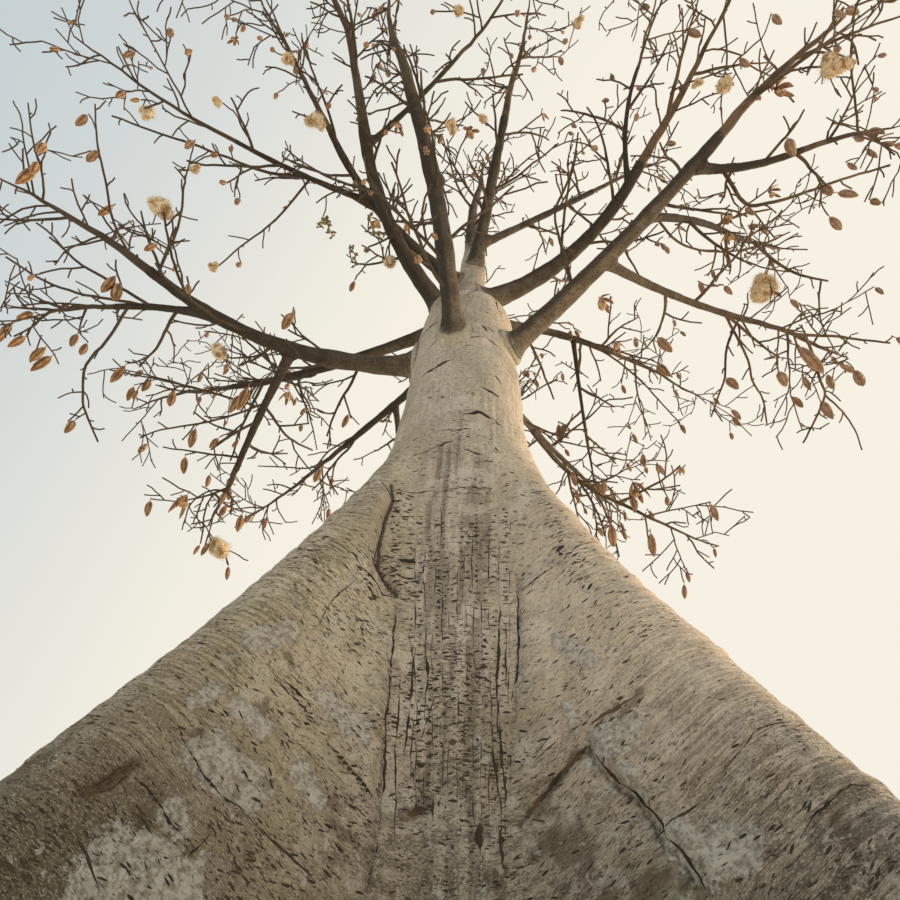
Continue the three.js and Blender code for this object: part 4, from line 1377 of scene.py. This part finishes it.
def twigs_along(points, radii, level, draws, spared="", last=0.97):
    """Twigs that leave a path by turns all round it, shorter towards its tip, wherever they find room."""
    length = step_lengths(points).sum()
    share = level["first"] + level["gap"] / length * next(draws) * 0.6
    turn = 360 * next(draws)
    twigs = []
    while share < last:
        place, along, radius = sample_path(points, radii, share)
        bends = draw_bends(level, draws)
        vigour = (0.55 + 0.8 * next(draws)) * (1 - 0.35 * share)
        thick = min(level["thick"], 0.8 * radius)
        sizes = even_taper(thick, min(level["thin"], thick), level["joints"])
        for swing in (0, 140):
            heading = side_heading(along, level["angle"], turn + swing)
            path = np.array(wander_on(place, heading, level["length"] * vigour, level, bends))
            steps = zip(path, path[1:], sizes)
            if within_reach(path) and all(clear_of_limbs(*step, spared) for step in steps):
                twigs.append((path, np.array(sizes)))
                break
        turn += growth["turn"] + growth["turn_spread"] * (next(draws) - 0.5)
        share += level["gap"] / length * (0.65 + 0.7 * next(draws))
    return twigs


def spurs_along(points, radii, draws):
    """Short blunt spurs, where leaves have fallen."""
    length = step_lengths(points).sum()
    spurs = []
    for _ in range(int(length / spur_gap)):
        place, along, radius = sample_path(points, radii, 0.05 + 0.93 * next(draws))
        heading = side_heading(along, 55, 360 * next(draws))
        reach = radius + spur_length * (0.4 + next(draws))
        size = 0.008 + 0.2 * radius
        spurs.append((np.array([place, place + heading * reach]), np.array([size, size * 0.75])))
    return spurs


def finer_twigs(parents, draws):
    """Every twig and spur that leaves these paths, and the ends and joints that can bear fruit."""
    grown, bearing = [], []
    for points, radii in parents:
        bearing.append(points[-1:])
        grown.extend(spurs_along(points, radii, draws))
        for twig in twigs_along(points, radii, fine_levels[0], draws):
            grown.append(twig)
            bearing.append(twig[0][1:])
            grown.extend(spurs_along(*twig, draws))
            last_twigs = twigs_along(*twig, fine_levels[1], draws)
            grown.extend(last_twigs)
            bearing.extend(path[-1:] for path, _ in last_twigs)
    return grown, np.concatenate(bearing)


def skeleton_mesh(paths):
    """A mesh of edges alone, one run of edges for each path, with the radius kept at each point."""
    mesh = bpy.data.meshes.new("skeleton")
    points, edges, radii = [], [], []
    for path, sizes in paths:
        first = len(points)
        points.extend(path.tolist())
        radii.extend(sizes.tolist())
        edges.extend((first + step, first + step + 1) for step in range(len(path) - 1))
    mesh.from_pydata(points, edges, [])
    skeleton = add_object("skeleton", mesh)
    store(skeleton, "radius", np.maximum(radii, least_radius))
    return skeleton


def tube_tree():
    """Grows a round tube along each run of edges, as thick as the radius that its points keep."""
    tree, given = node_tree("tubes", {"Sides": ("Int", 6), "Finish": ("Material", None)})
    start = given["Geometry"]
    curve = start.make("GeometryNodeMeshToCurve", {"Mesh": start})
    ring = start.make("GeometryNodeCurvePrimitiveCircle", {"Resolution": given["Sides"], "Radius": 1.0})
    sizes = {"Curve": curve, "Profile Curve": ring, "Scale": start.named("radius"), "Fill Caps": True}
    close_tree(tree, start.make("GeometryNodeCurveToMesh", sizes), given["Finish"])
    return tree


tubes = tube_tree()


def tube_piece(name, paths, sides, finish):
    """One piece of round tubes, one along each path."""
    skeleton = skeleton_mesh(paths)
    piece = run_tree(skeleton, tubes, name, {"Sides": sides, "Finish": finish})
    bpy.data.objects.remove(skeleton)
    return piece


def twig_finish():
    """Grey-brown twig bark, nearly black in places."""
    twig = Finish("twig bark", 0.88)
    cloud = twig.noise(0.35, 3.0).step(0.36, 0.64)
    # Painted sunlight: the twigs on the right are lighter and warmer
    sunny = twig.axis("X").step(-1.5, 3.5)
    lit = sunny.blend(paint(94, 80, 62), paint(126, 100, 74))
    twig.colour = cloud.blend(lit, paint(78, 63, 47))
    twig.coat(twig.noise(0.02, 3.0, 0.6, 4.0).step(0.45, 0.65) * 0.5, 62, 50, 37)
    twig.feed(Base_Color=twig.colour)
    return twig.material


twig_material = twig_finish()
stem_overlap = 0.06
fruit_tips = []
bearers = []
solid_pods = []
for mass in masses:
    branches, pods = grow_mass(mass)
    solid_pods.extend(pods)
    draws = seeded_random(mass.seed + 1)
    stems = [crooked(branch["points"], branch["radii"], draws) for branch in branches]
    # The stem starts a little inside its limb, so that the bark runs on without a break
    stems[0][0][0] -= mass.heading * stem_overlap
    shares = np.linspace(0, mass.limb.end, 40)
    limb_line, limb_radii = mass.limb.at(shares), mass.limb.radius(shares)
    shoots = twigs_along(limb_line, limb_radii, side_shoots, draws, mass.limb.name)
    shoots = [crooked(path, radii, draws, 2) for path, radii in shoots]
    grown, tips = finer_twigs(stems + shoots, draws)
    bearers.append((limb_line, limb_radii))
    bearers.extend(stems)
    fruit_tips.extend(tips)
    piece = tube_piece("spray_" + mass.limb.name, stems + shoots + grown, 6, twig_material)
    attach(piece, "root")
    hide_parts("twigs_" + mass.limb.name)

# Hanging shoots: long whips of young wood that stand clear against the sky, each grown from a limb or twig.
# How thick each starts, and the pixels that it is seen through. It leaves what is seen nearest to its first
# pixel, and stays as far from the eye as that.
shoots_seen = [
    (0.022, [(738, 318), (727, 347), (725, 377), (718, 397), (711, 417)]),
    (0.022, [(723, 315), (737, 337), (748, 360), (752, 380), (763, 400), (767, 425)]),
    (0.030, [(800, 331), (833, 336), (862, 340), (890, 343)]),
    (0.018, [(779, 328), (778, 345), (776, 366)]),
    (0.026, [(800, 330), (813, 355), (820, 380), (825, 395), (815, 420), (803, 443)]),
    (0.017, [(825, 395), (843, 412), (855, 430), (862, 450)]),
    (0.016, [(792, 322), (803, 312), (828, 308)]),
    (0.036, [(752, 245), (776, 262), (800, 275), (828, 281), (853, 287), (880, 298), (893, 306)]),
    (0.020, [(818, 283), (819, 300), (822, 325), (836, 352)]),
    (0.018, [(868, 300), (873, 325), (876, 350), (875, 385)]),
    (0.030, [(722, 198), (745, 203), (768, 203), (795, 196), (820, 187), (850, 177), (890, 165)]),
    (0.020, [(657, 218), (672, 237), (692, 248), (725, 252), (757, 246), (790, 232)]),
    (0.022, [(857, 130), (855, 100), (851, 60), (853, 30), (856, 4)]),
    (0.022, [(862, 133), (880, 143), (895, 155)]),
    (0.018, [(733, 20), (727, 57), (723, 83), (721, 110), (723, 127)]),
    (0.026, [(768, 56), (760, 37), (753, 3)]),
    (0.022, [(596, 345), (620, 363), (643, 383), (663, 405), (680, 423)]),
    (0.022, [(137, 250), (114, 223), (103, 170), (97, 140), (95, 104)]),
    (0.022, [(168, 263), (178, 227), (183, 190), (185, 180), (175, 167)]),
    (0.015, [(185, 180), (190, 160), (195, 140)]), (0.022, [(50, 190), (43, 180), (33, 140), (28, 103)]),
    (0.018, [(65, 207), (45, 213), (27, 217), (4, 226)]),
    (0.018, [(102, 235), (82, 243), (67, 250), (55, 265)]),
    (0.028, [(152, 302), (110, 299), (77, 293), (43, 280), (6, 257)]),
    (0.020, [(63, 311), (45, 302), (30, 293), (5, 281)]),
    (0.024, [(130, 312), (107, 340), (86, 365), (83, 392), (84, 408), (92, 428), (98, 442)]),
    (0.015, [(83, 390), (70, 393), (58, 398)]), (0.014, [(84, 412), (76, 419)]),
    (0.022, [(236, 455), (203, 453), (163, 447)]),
    (0.020, [(227, 490), (215, 490), (203, 494), (190, 505), (182, 530)]),
    (0.016, [(228, 495), (236, 503), (243, 513)]),
    (0.022, [(257, 400), (227, 417), (190, 425), (160, 430), (140, 438)]),
    (0.024, [(257, 400), (203, 390), (153, 378), (110, 370)]),
    (0.020, [(290, 380), (308, 410), (317, 450)]),
    (0.022, [(353, 423), (330, 450), (313, 467), (285, 467), (258, 466)]),
    (0.018, [(322, 460), (323, 485), (321, 505), (312, 524)]),
    (0.030, [(305, 185), (270, 173), (240, 163), (187, 142), (150, 130), (112, 116)]),
    (0.022, [(303, 193), (283, 212), (267, 227), (240, 247), (213, 271)]),
]


def depth_of(point):
    return (point - eye) @ eye_forward


def seen_through(pixel, depth):
    """The place at this depth in front of the eye that falls on a pixel of the image."""
    scale = depth * sensor_width / lens_length / image_size
    aside = (pixel[0] - image_size / 2) * scale
    rise = (image_size / 2 - pixel[1]) * scale
    over = np.array([aside, -rise * math.sin(eye_pitch), rise * math.cos(eye_pitch)])
    return eye + eye_forward * depth + over


def nearest_bearer(pixel):
    """The place on a limb, a stem or a shoot that is seen nearest to a pixel, and how thick it is there."""
    places = np.concatenate([path for path, _ in bearers])
    sizes = np.concatenate([radii for _, radii in bearers])
    nearest = np.argmin(np.linalg.norm(seen_at(places) - np.array(pixel), axis=1))
    return places[nearest], sizes[nearest]


shoot_seed = 733
draws = seeded_random(shoot_seed)
traced_shoots = []
for thick, pixels in shoots_seen:
    start, carrier = nearest_bearer(pixels[0])
    shoot = [start] + [seen_through(pixel, depth_of(start)) for pixel in pixels[1:]]
    shoot = [point for point in shoot if (point > reach_low).all() and (point < reach_high).all()]
    if len(shoot) < 2:
        continue
    radii = even_taper(min(thick, carrier), 0.55 * min(thick, carrier), len(shoot) - 1)
    path, radii = crooked(shoot, radii, draws, 4, 0.10)
    bearers.append((path, radii))
    traced_shoots.append((path, radii))
    traced_shoots.extend(spurs_along(path, radii, draws))
    small = twigs_along(path, radii, fine_levels[1], draws)
    traced_shoots.extend(small)
    fruit_tips.extend([path[-1], path[len(path) // 2]] + [twig[-1] for twig, _ in small])
piece = tube_piece("hanging_shoots", traced_shoots, 6, twig_material)
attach(piece, "root")
fruit_tips = np.array(fruit_tips)

# Pods: woody husks as long as a hand's span and more, brown outside, ribbed along their five seams. They
# hang on short stalks from the twigs' ends. Some have split from below into five valves, with the floss
# still inside.
husk = {"sides": 10, "rib": 0.17, "stalk_radius": 0.006, "stalk_sides": 5, "shell": 0.008}
husk_run = np.array([0.0, 0.10, 0.27, 0.50, 0.73, 0.90, 1.0])
husk_width = np.array([0.22, 0.60, 0.93, 1.0, 0.80, 0.42, 0.06])


def ring_around(middle, radius, turns):
    return middle + np.stack([radius * np.cos(turns), radius * np.sin(turns), 0 * turns], axis=-1)


def stalk_rings():
    """Three rings of a pod's stalk, from the twig at the origin down to the husk."""
    drops = (0.02, -0.5 * pod_size["stalk"], -pod_size["stalk"] - 0.01)
    turns = full_turn(husk["stalk_sides"])
    return [ring_around(upward * drop, husk["stalk_radius"], turns) for drop in drops]


def whole_pod():
    """A shut pod that hangs down from the origin: stalk and ribbed husk."""
    sides = husk["sides"]
    ribbed = pod_size["radius"] * (1 - husk["rib"] * (np.arange(sides) % 2))
    drops = pod_size["stalk"] + husk_run * pod_size["length"]
    turns = full_turn(sides)
    rings = [ring_around(-drop * upward, ribbed * width, turns) for drop, width in zip(drops, husk_width)]
    points = np.concatenate(rings + stalk_rings())
    # Rings that run downward face outward once their order is reversed
    faces = ring_faces(len(rings), sides) + ring_faces(3, husk["stalk_sides"], len(rings) * sides)
    pod = mesh_piece("whole_pod", points, [face[::-1] for face in faces])
    furrow = np.tile(np.arange(sides) % 2, len(rings))
    store(pod, "furrow", np.append(furrow, np.zeros(len(points) - len(furrow))))
    return pod


def split_pod():
    """A pod whose five valves have swung outward from below, each a thin curved shell."""
    points = [np.concatenate(stalk_rings())]
    faces = ring_faces(3, husk["stalk_sides"])
    for valve in range(5):
        middle = 2 * math.pi * valve / 5
        swing = 0.16 + 0.09 * (valve * 3 % 5)
        outward = np.array([math.cos(middle), math.sin(middle), 0])
        turns = middle + np.array([-0.6, 0, 0.6])
        rings = []
        for run, width in zip(husk_run, husk_width):
            radius = pod_size["radius"] * width
            fall = pod_size["stalk"] + run * pod_size["length"] * math.cos(0.8 * swing)
            opened = outward * math.sin(swing) * run ** 1.3 * pod_size["length"] - upward * fall
            outer = ring_around(opened, radius, turns)
            inner = ring_around(opened, max(radius - husk["shell"], 0.3 * radius), turns[::-1])
            rings.append(np.concatenate([outer, inner]))
        faces.extend(ring_faces(len(rings), 6, sum(len(one) for one in points)))
        points.append(np.concatenate(rings))
    return mesh_piece("split_pod", np.concatenate(points), [face[::-1] for face in faces])


def hanging_tree():
    """Copies of a shape on points, each turned and sized by the numbers that its point keeps."""
    tree, given = node_tree("hanging", {"Shape": ("Object", None), "Finish": ("Material", None)})
    start = given["Geometry"]
    turn = start.named("turn", "FLOAT_VECTOR")
    shape = start.make("GeometryNodeObjectInfo", {"Object": given["Shape"]}, output="Geometry")
    placed = {"Points": start, "Instance": shape, "Rotation": turn, "Scale": start.named("size")}
    close_tree(tree, start.make("GeometryNodeInstanceOnPoints", placed), given["Finish"])
    return tree


hanging = hanging_tree()


def hang_copies(name, shape, places, turns, sizes, finish):
    """One piece of many copies of a shape. The caller takes the shape itself away."""
    spots = mesh_piece(name + "_spots", places, [])
    store(spots, "size", sizes)
    store(spots, "turn", turns)
    piece = run_tree(spots, hanging, name, {"Shape": shape, "Finish": finish})
    bpy.data.objects.remove(spots)
    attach(piece, "root")


def husk_finish(name, sunny, shaded, lined):
    """Woody husk, blotched, and darker towards its ribs."""
    shell = Finish(name, 0.8)
    fine = shell.noise((0.02, 0.02, 0.08), 3.0, 0.6, 5.0)
    furrow = shell.number("furrow") + fine * 0.6
    shell.colour = shell.noise(0.12, 3.0, 0.6).step(0.38, 0.62).blend(sunny, shaded)
    shell.coat(furrow.step(0.55, 1.2) * lined, 66, 46, 31)
    shell.feed(Base_Color=shell.colour, Normal=shell.bump(fine, 0.5, 0.006))
    return shell.material


# The plainest pods, by parts of the crown: how large they look there, and the pixel of each one's middle.
# The nearest twig's end bears it.
pods_seen = [
    (1.25, [(64, 429), (25, 322), (36, 350), (45, 368), (107, 283), (123, 298), (28, 170), (38, 181)]),
    (1.2, [(123, 375), (146, 384), (170, 398), (107, 208), (101, 157), (89, 130), (26, 141), (248, 388)]),
    (1.15, [(181, 470), (190, 508), (196, 445), (287, 397), (289, 320), (240, 520), (321, 480), (236, 400)]),
    (1.45, [(735, 392), (831, 409), (833, 380), (858, 372), (783, 380), (803, 355), (797, 352), (895, 345)]),
    (1.3, [(634, 511), (661, 532), (633, 490), (614, 530), (590, 298), (655, 340), (658, 370), (560, 425)]),
    (1.25, [(845, 208), (825, 239), (830, 195), (776, 90), (767, 150), (739, 62), (697, 36), (770, 12)]),
    (0.9, [(420, 22), (518, 8), (530, 34), (590, 155), (615, 75), (474, 132), (426, 132), (280, 102)]),
    (0.85, [(187, 46), (183, 150), (211, 187), (245, 216), (238, 155), (225, 262), (292, 75), (274, 59)]),
    (0.85, [(342, 318), (424, 258), (561, 422), (573, 340), (700, 300), (750, 213), (880, 201), (388, 75)]),
]
# How many of the plainest pods have split open, how many of the other ends bear a pod and how many of those
# have split
seen_split_share = 0.10
bearing_share = 0.035
split_share = 0.08
fruit_seed = 4177
husk_tones = {
    "pods_amber": husk_finish("amber husk", paint(204, 160, 114), paint(162, 120, 82), 0.75),
    "pods_brown": husk_finish("brown husk", paint(196, 152, 112), paint(156, 116, 82), 0.6),
    "pods_dark": husk_finish("dark husk", paint(206, 166, 130), paint(170, 130, 98), 0.45),
}
pod_middle = upward * (pod_size["stalk"] + pod_size["length"] / 2)
# In radians, near enough
full_circle = 6.28


def nearest_end(pixel, drop, used, nearer=0.0):
    """The twig's end that would show something hung this far below it nearest to a pixel of the image.

    Ends closer to the eye are preferred by this many pixels for each metre.
    """
    gaps = np.linalg.norm(seen_at(fruit_tips - drop) - np.array(pixel), axis=1)
    gaps += nearer * depth_of(fruit_tips)
    gaps[list(used)] = np.inf
    return int(np.argmin(gaps))


draws = seeded_random(fruit_seed)
used_ends = set()
pod_spots = [(np.array(tip), 1.0, False) for tip in solid_pods]
for scale, group in pods_seen:
    for pixel in group:
        end = nearest_end(pixel, pod_middle, used_ends, 2.0)
        used_ends.add(end)
        pod_spots.append((fruit_tips[end], scale * (0.8 + 0.3 * next(draws)), next(draws) < seen_split_share))
for end in range(len(fruit_tips)):
    if next(draws) < bearing_share and end not in used_ends:
        used_ends.add(end)
        pod_spots.append((fruit_tips[end], 0.5 + 0.35 * next(draws), next(draws) < split_share))

shapes = {False: whole_pod(), True: split_pod()}
for is_split, label in ((False, ""), (True, "_split")):
    spots = [spot for spot in pod_spots if spot[2] == is_split]
    places = np.array([spot[0] for spot in spots])
    sizes = np.array([spot[1] for spot in spots])
    tilts = np.array([
        [0.5 * (next(draws) - 0.5), 0.5 * (next(draws) - 0.5), full_circle * next(draws)] for _ in spots
    ])
    # Most husks on the sunny left are amber, and most on the right have the third tone
    chances = np.array([next(draws) for _ in spots]) + 0.09 * places[:, 0]
    tone = np.digitize(chances, [0.45, 0.85])
    for place, (name, finish) in enumerate(husk_tones.items()):
        chosen = tone == place
        if chosen.any():
            hang_copies(name + label, shapes[is_split], places[chosen], tilts[chosen], sizes[chosen], finish)
for shape in shapes.values():
    bpy.data.objects.remove(shape)

# Floss: the cotton round the seeds, creamy tufts that swell out of split pods and cling to the twigs. Each
# is a lumpy ball of fibres, with tan painted shade in its folds and loose hairs all over it.
# The pixel of each tuft's middle, and how many pixels wide it looks
floss_seen = [
    (158, 207, 27), (765, 287, 35), (223, 537, 26), (825, 73, 27), (320, 110, 21), (207, 345, 21),
    (143, 126, 17), (392, 292, 17), (841, 64, 15), (210, 104, 12), (275, 58, 15), (588, 27, 13),
    (470, 130, 15), (728, 90, 18), (697, 86, 12), (455, 8, 13), (210, 187, 13), (483, 118, 11),
    (218, 264, 12),
]
tuft_drop = 0.1 * upward
# A tuft has four lobes, the first the largest
lobe_sizes = (0.74, 0.58, 0.54, 0.50)
hair_density = 1500.0


def floss_ball(middle, size, seed):
    """The points and faces of one lumpy ball, and how far each point swells out."""
    rings, sides = 13, 18
    rise = np.linspace(-1, 1, rings)[:, None] * 0.985
    turns = full_turn(sides)[None]
    flat = np.sqrt(1 - rise ** 2)
    way = np.stack([flat * np.cos(turns), flat * np.sin(turns), rise + 0 * turns], axis=-1)
    swell = 0.80 + 0.34 * lumps(way, 0.85, seed) + 0.24 * lumps(way, 0.42, seed + 1)
    return (middle + way * (size * swell)[..., None]).reshape(-1, 3), ring_faces(rings, sides), swell.ravel()


def hair_mesh():
    """One bent hair that stands on the origin, a thin three-sided spike."""
    bends = [((0, 0, 0), 0.0016), ((0.006, 0, 0.022), 0.0012), ((0.022, 0, 0.038), 0.0004)]
    rings = [ring_around(np.array(middle), radius, full_turn(3)) for middle, radius in bends]
    return mesh_piece("hair", np.concatenate(rings), ring_faces(3, 3))


def hair_tree():
    """Hairs on a surface, leaning every way from its normal."""
    tree, given = node_tree("hairs", {
        "Shape": ("Object", None), "Density": ("Float", hair_density), "Seed": ("Int", 1),
        "Finish": ("Material", None),
    })
    start = given["Geometry"]
    spread = {"Mesh": start, "Density": given["Density"], "Seed": given["Seed"]}
    points = start.make("GeometryNodeDistributePointsOnFaces", spread, distribute_method="RANDOM")
    normal = Flow(tree, points.socket.node.outputs["Normal"])
    ends = {0: (-1.0, -1.0, -1.0), 1: (1.0, 1.0, 1.0), "Seed": given["Seed"]}
    lean = start.make("FunctionNodeRandomValue", ends, data_type="FLOAT_VECTOR")
    turned = start.make("FunctionNodeAlignRotationToVector", {"Vector": normal + lean * 0.8}, axis="Z")
    size = start.random(0.5, 1.6, given["Seed"]) * start.named("fluff")
    shape = start.make("GeometryNodeObjectInfo", {"Object": given["Shape"]}, output="Geometry")
    placed = {"Points": points, "Instance": shape, "Rotation": turned, "Scale": size}
    close_tree(tree, start.make("GeometryNodeInstanceOnPoints", placed), given["Finish"])
    return tree


def floss_finish():
    """Cream fibre, with tan painted shade where the ball folds in."""
    fibre = Finish("floss", 0.95)
    # Painted shade: tan where the ball's lobes fold in
    floss_fold_shade = (fibre.number("swell") + fibre.noise(0.05, 3.0, 0.6, 3.0) * 0.35).step(1.06, 0.74)
    cloud = fibre.noise(0.05, 3.0, 0.6).step(0.42, 0.66) * 0.6
    cream = cloud.blend(paint(250, 236, 206), paint(226, 196, 150))
    fibre.colour = fibre.number("tan").blend(cream, cloud.blend(paint(236, 202, 156), paint(190, 146, 98)))
    fibre.coat(floss_fold_shade * 0.85, 168, 122, 72)
    raised = fibre.noise(0.012, 4.0, 0.7)
    fibre.feed(Base_Color=fibre.colour, Normal=fibre.bump(raised, 0.8, 0.01))
    return fibre.material


floss_material = floss_finish()
balls = []
for place, (*pixel, width) in enumerate(floss_seen):
    end = nearest_end(pixel, tuft_drop, used_ends, 4.0)
    used_ends.add(end)
    middle = fruit_tips[end] - tuft_drop
    pixels_wide = np.diff(seen_at([middle, middle + np.array([1.0, 0, 0])])[:, 0])[0]
    size = 0.5 * width / pixels_wide
    # The small tufts and those on the right look tan
    tan = 0.60 if pixel[0] > 600 or width < 16 else 0.20
    for lobe, share in enumerate(lobe_sizes):
        shift = shake(draws) * 1.15 * size * min(lobe, 1)
        balls.append((middle + shift, size * share, 8 * place + 2 * lobe, tan))
for place, (tip, size, is_split) in enumerate(pod_spots):
    if is_split:
        drop = upward * (size * (pod_size["stalk"] + 0.55 * pod_size["length"]))
        balls.append((tip - drop, size * (0.05 + 0.04 * next(draws)), 200 + 2 * place, 0.8))
ball_points, ball_faces, ball_swell, ball_tan, ball_fluff = [], [], [], [], []
for *ball, tan in balls:
    points, faces, swell = floss_ball(*ball)
    ball_tan.append(np.full(len(points), tan))
    ball_fluff.append(np.full(len(points), min(ball[1] / 0.11, 1.2)))
    first = sum(len(one) for one in ball_points)
    ball_faces.extend([tuple(first + corner for corner in face) for face in faces])
    ball_points.append(points)
    ball_swell.append(swell)
floss = mesh_piece("floss", np.concatenate(ball_points), ball_faces, floss_material)
store(floss, "swell", np.concatenate(ball_swell))
store(floss, "tan", np.concatenate(ball_tan))
store(floss, "fluff", np.concatenate(ball_fluff))
hair = hair_mesh()
sizes = {"Shape": hair, "Density": hair_density, "Seed": 5, "Finish": floss_material}
hairs = run_tree(floss, hair_tree(), "floss_hairs", sizes)
bpy.data.objects.remove(hair)
for piece in (floss, hairs):
    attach(piece, "root")

# Young leaves: two or three sprigs on the left have small olive leaflets, in pairs along thin hanging stalks
# that grow from the twigs' ends. Each leaflet is a thin blade folded along its midrib.
leaf_seen = [(362, 222), (354, 240), (318, 238), (312, 252)]
leaf_length = 0.085
sprig_length = 0.62
sprig_drop = 0.15 * upward
sprig_heading = np.array([0.4, 0, -0.9])


def leaflet_mesh():
    """One leaflet that lies along X, folded a little along its midrib, with a thin edge."""
    run = np.array([0.0, 0.22, 0.5, 0.78, 1.0])
    half = np.array([0.01, 0.20, 0.26, 0.17, 0.01])
    upper = np.stack([run, 0 * run, 0.03 * np.sin(run * math.pi) + 0.012], axis=-1)
    lower = upper - np.array([0, 0, 0.024])
    left = np.stack([run, half, 0.10 * half], axis=-1)
    right = left * np.array([1, -1, 1])
    rings = np.stack([upper, right, lower, left], axis=1) * leaf_length
    return mesh_piece("leaflet", rings.reshape(-1, 3), [face[::-1] for face in ring_faces(5, 4)])


leaf_finish = Finish("olive leaf", 0.6)
leaf_tone = leaf_finish.noise(0.06, 2.0).step(0.4, 0.6)
leaf_finish.feed(Base_Color=leaf_tone.blend(paint(158, 144, 92), paint(120, 110, 64)))
leaf_places, leaf_turns, leaf_sizes, leaf_stalks = [], [], [], []
for pixel in leaf_seen:
    tip = fruit_tips[nearest_end(pixel, sprig_drop, set())]
    bends = [np.array([next(draws) - 0.5, next(draws) - 0.5, -0.3]) for _ in range(6)]
    sprig = {"joints": len(bends), "lift": 0}
    stalk = np.array(wander_on(tip, sprig_heading, sprig_length, sprig, bends))
    leaf_stalks.append((stalk, np.linspace(0.006, 0.003, len(stalk))))
    for joint in stalk[1:]:
        turn = full_circle * next(draws)
        for side in (0, full_circle / 2):
            leaf_places.append(joint)
            leaf_turns.append((0.8 * (next(draws) - 0.5), 0.5 * next(draws) - 0.1, turn + side))
            leaf_sizes.append(0.7 + 0.6 * next(draws))
leaflet = leaflet_mesh()
hang_copies("leaflets", leaflet, leaf_places, leaf_turns, leaf_sizes, leaf_finish.material)
bpy.data.objects.remove(leaflet)
stalks = tube_piece("leaf_stalks", leaf_stalks, 5, leaf_finish.material)
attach(stalks, "root")

# Floor: a plain pale ground that the tree stands on and casts its shadow over. It isn't part of the tree.
floor_half = 60
corners = [(-1, -1, 0), (1, -1, 0), (1, 1, 0), (-1, 1, 0)]
floor = mesh_piece("floor", floor_half * np.array(corners), [(0, 1, 2, 3)])
floor_finish = Finish("pale floor", 0.95)
floor_finish.feed(Base_Color=floor_finish.noise(8.0).blend(paint(228, 224, 216), paint(220, 216, 208)))
floor.data.materials.append(floor_finish.material)

# Light: a pale overcast sky, cool on the left and overhead and creamy on the right, where a low sun warms
# the edges of the bark and the boughs.
world = bpy.data.worlds.new("sky")
world.use_nodes = True
bpy.context.scene.world = world
sky = Flow(world.node_tree)
direction = sky.make("ShaderNodeTexCoord", output="Generated")
toward_x = sky.make("ShaderNodeSeparateXYZ", {0: direction}, output="X")
toward_y = sky.make("ShaderNodeSeparateXYZ", {0: direction}, output="Y")
glow = (toward_x * 0.55 + toward_y * 0.45).step(-0.34, 0.25).blend(paint(196, 207, 211), paint(247, 241, 227))
world.node_tree.links.new(glow.socket, world.node_tree.nodes["Background"].inputs["Color"])
world.node_tree.nodes["Background"].inputs["Strength"].default_value = 1.0

sun_data = bpy.data.lights.new("low_sun", "SUN")
sun_data.energy = 3.2
sun_data.color = paint(255, 226, 186)[:3]
sun_data.angle = math.radians(9)
sun = add_object("low_sun", sun_data)
sun.rotation_euler = (math.radians(66), 0, math.radians(112))
bpy.context.scene.view_settings.view_transform = "Standard"
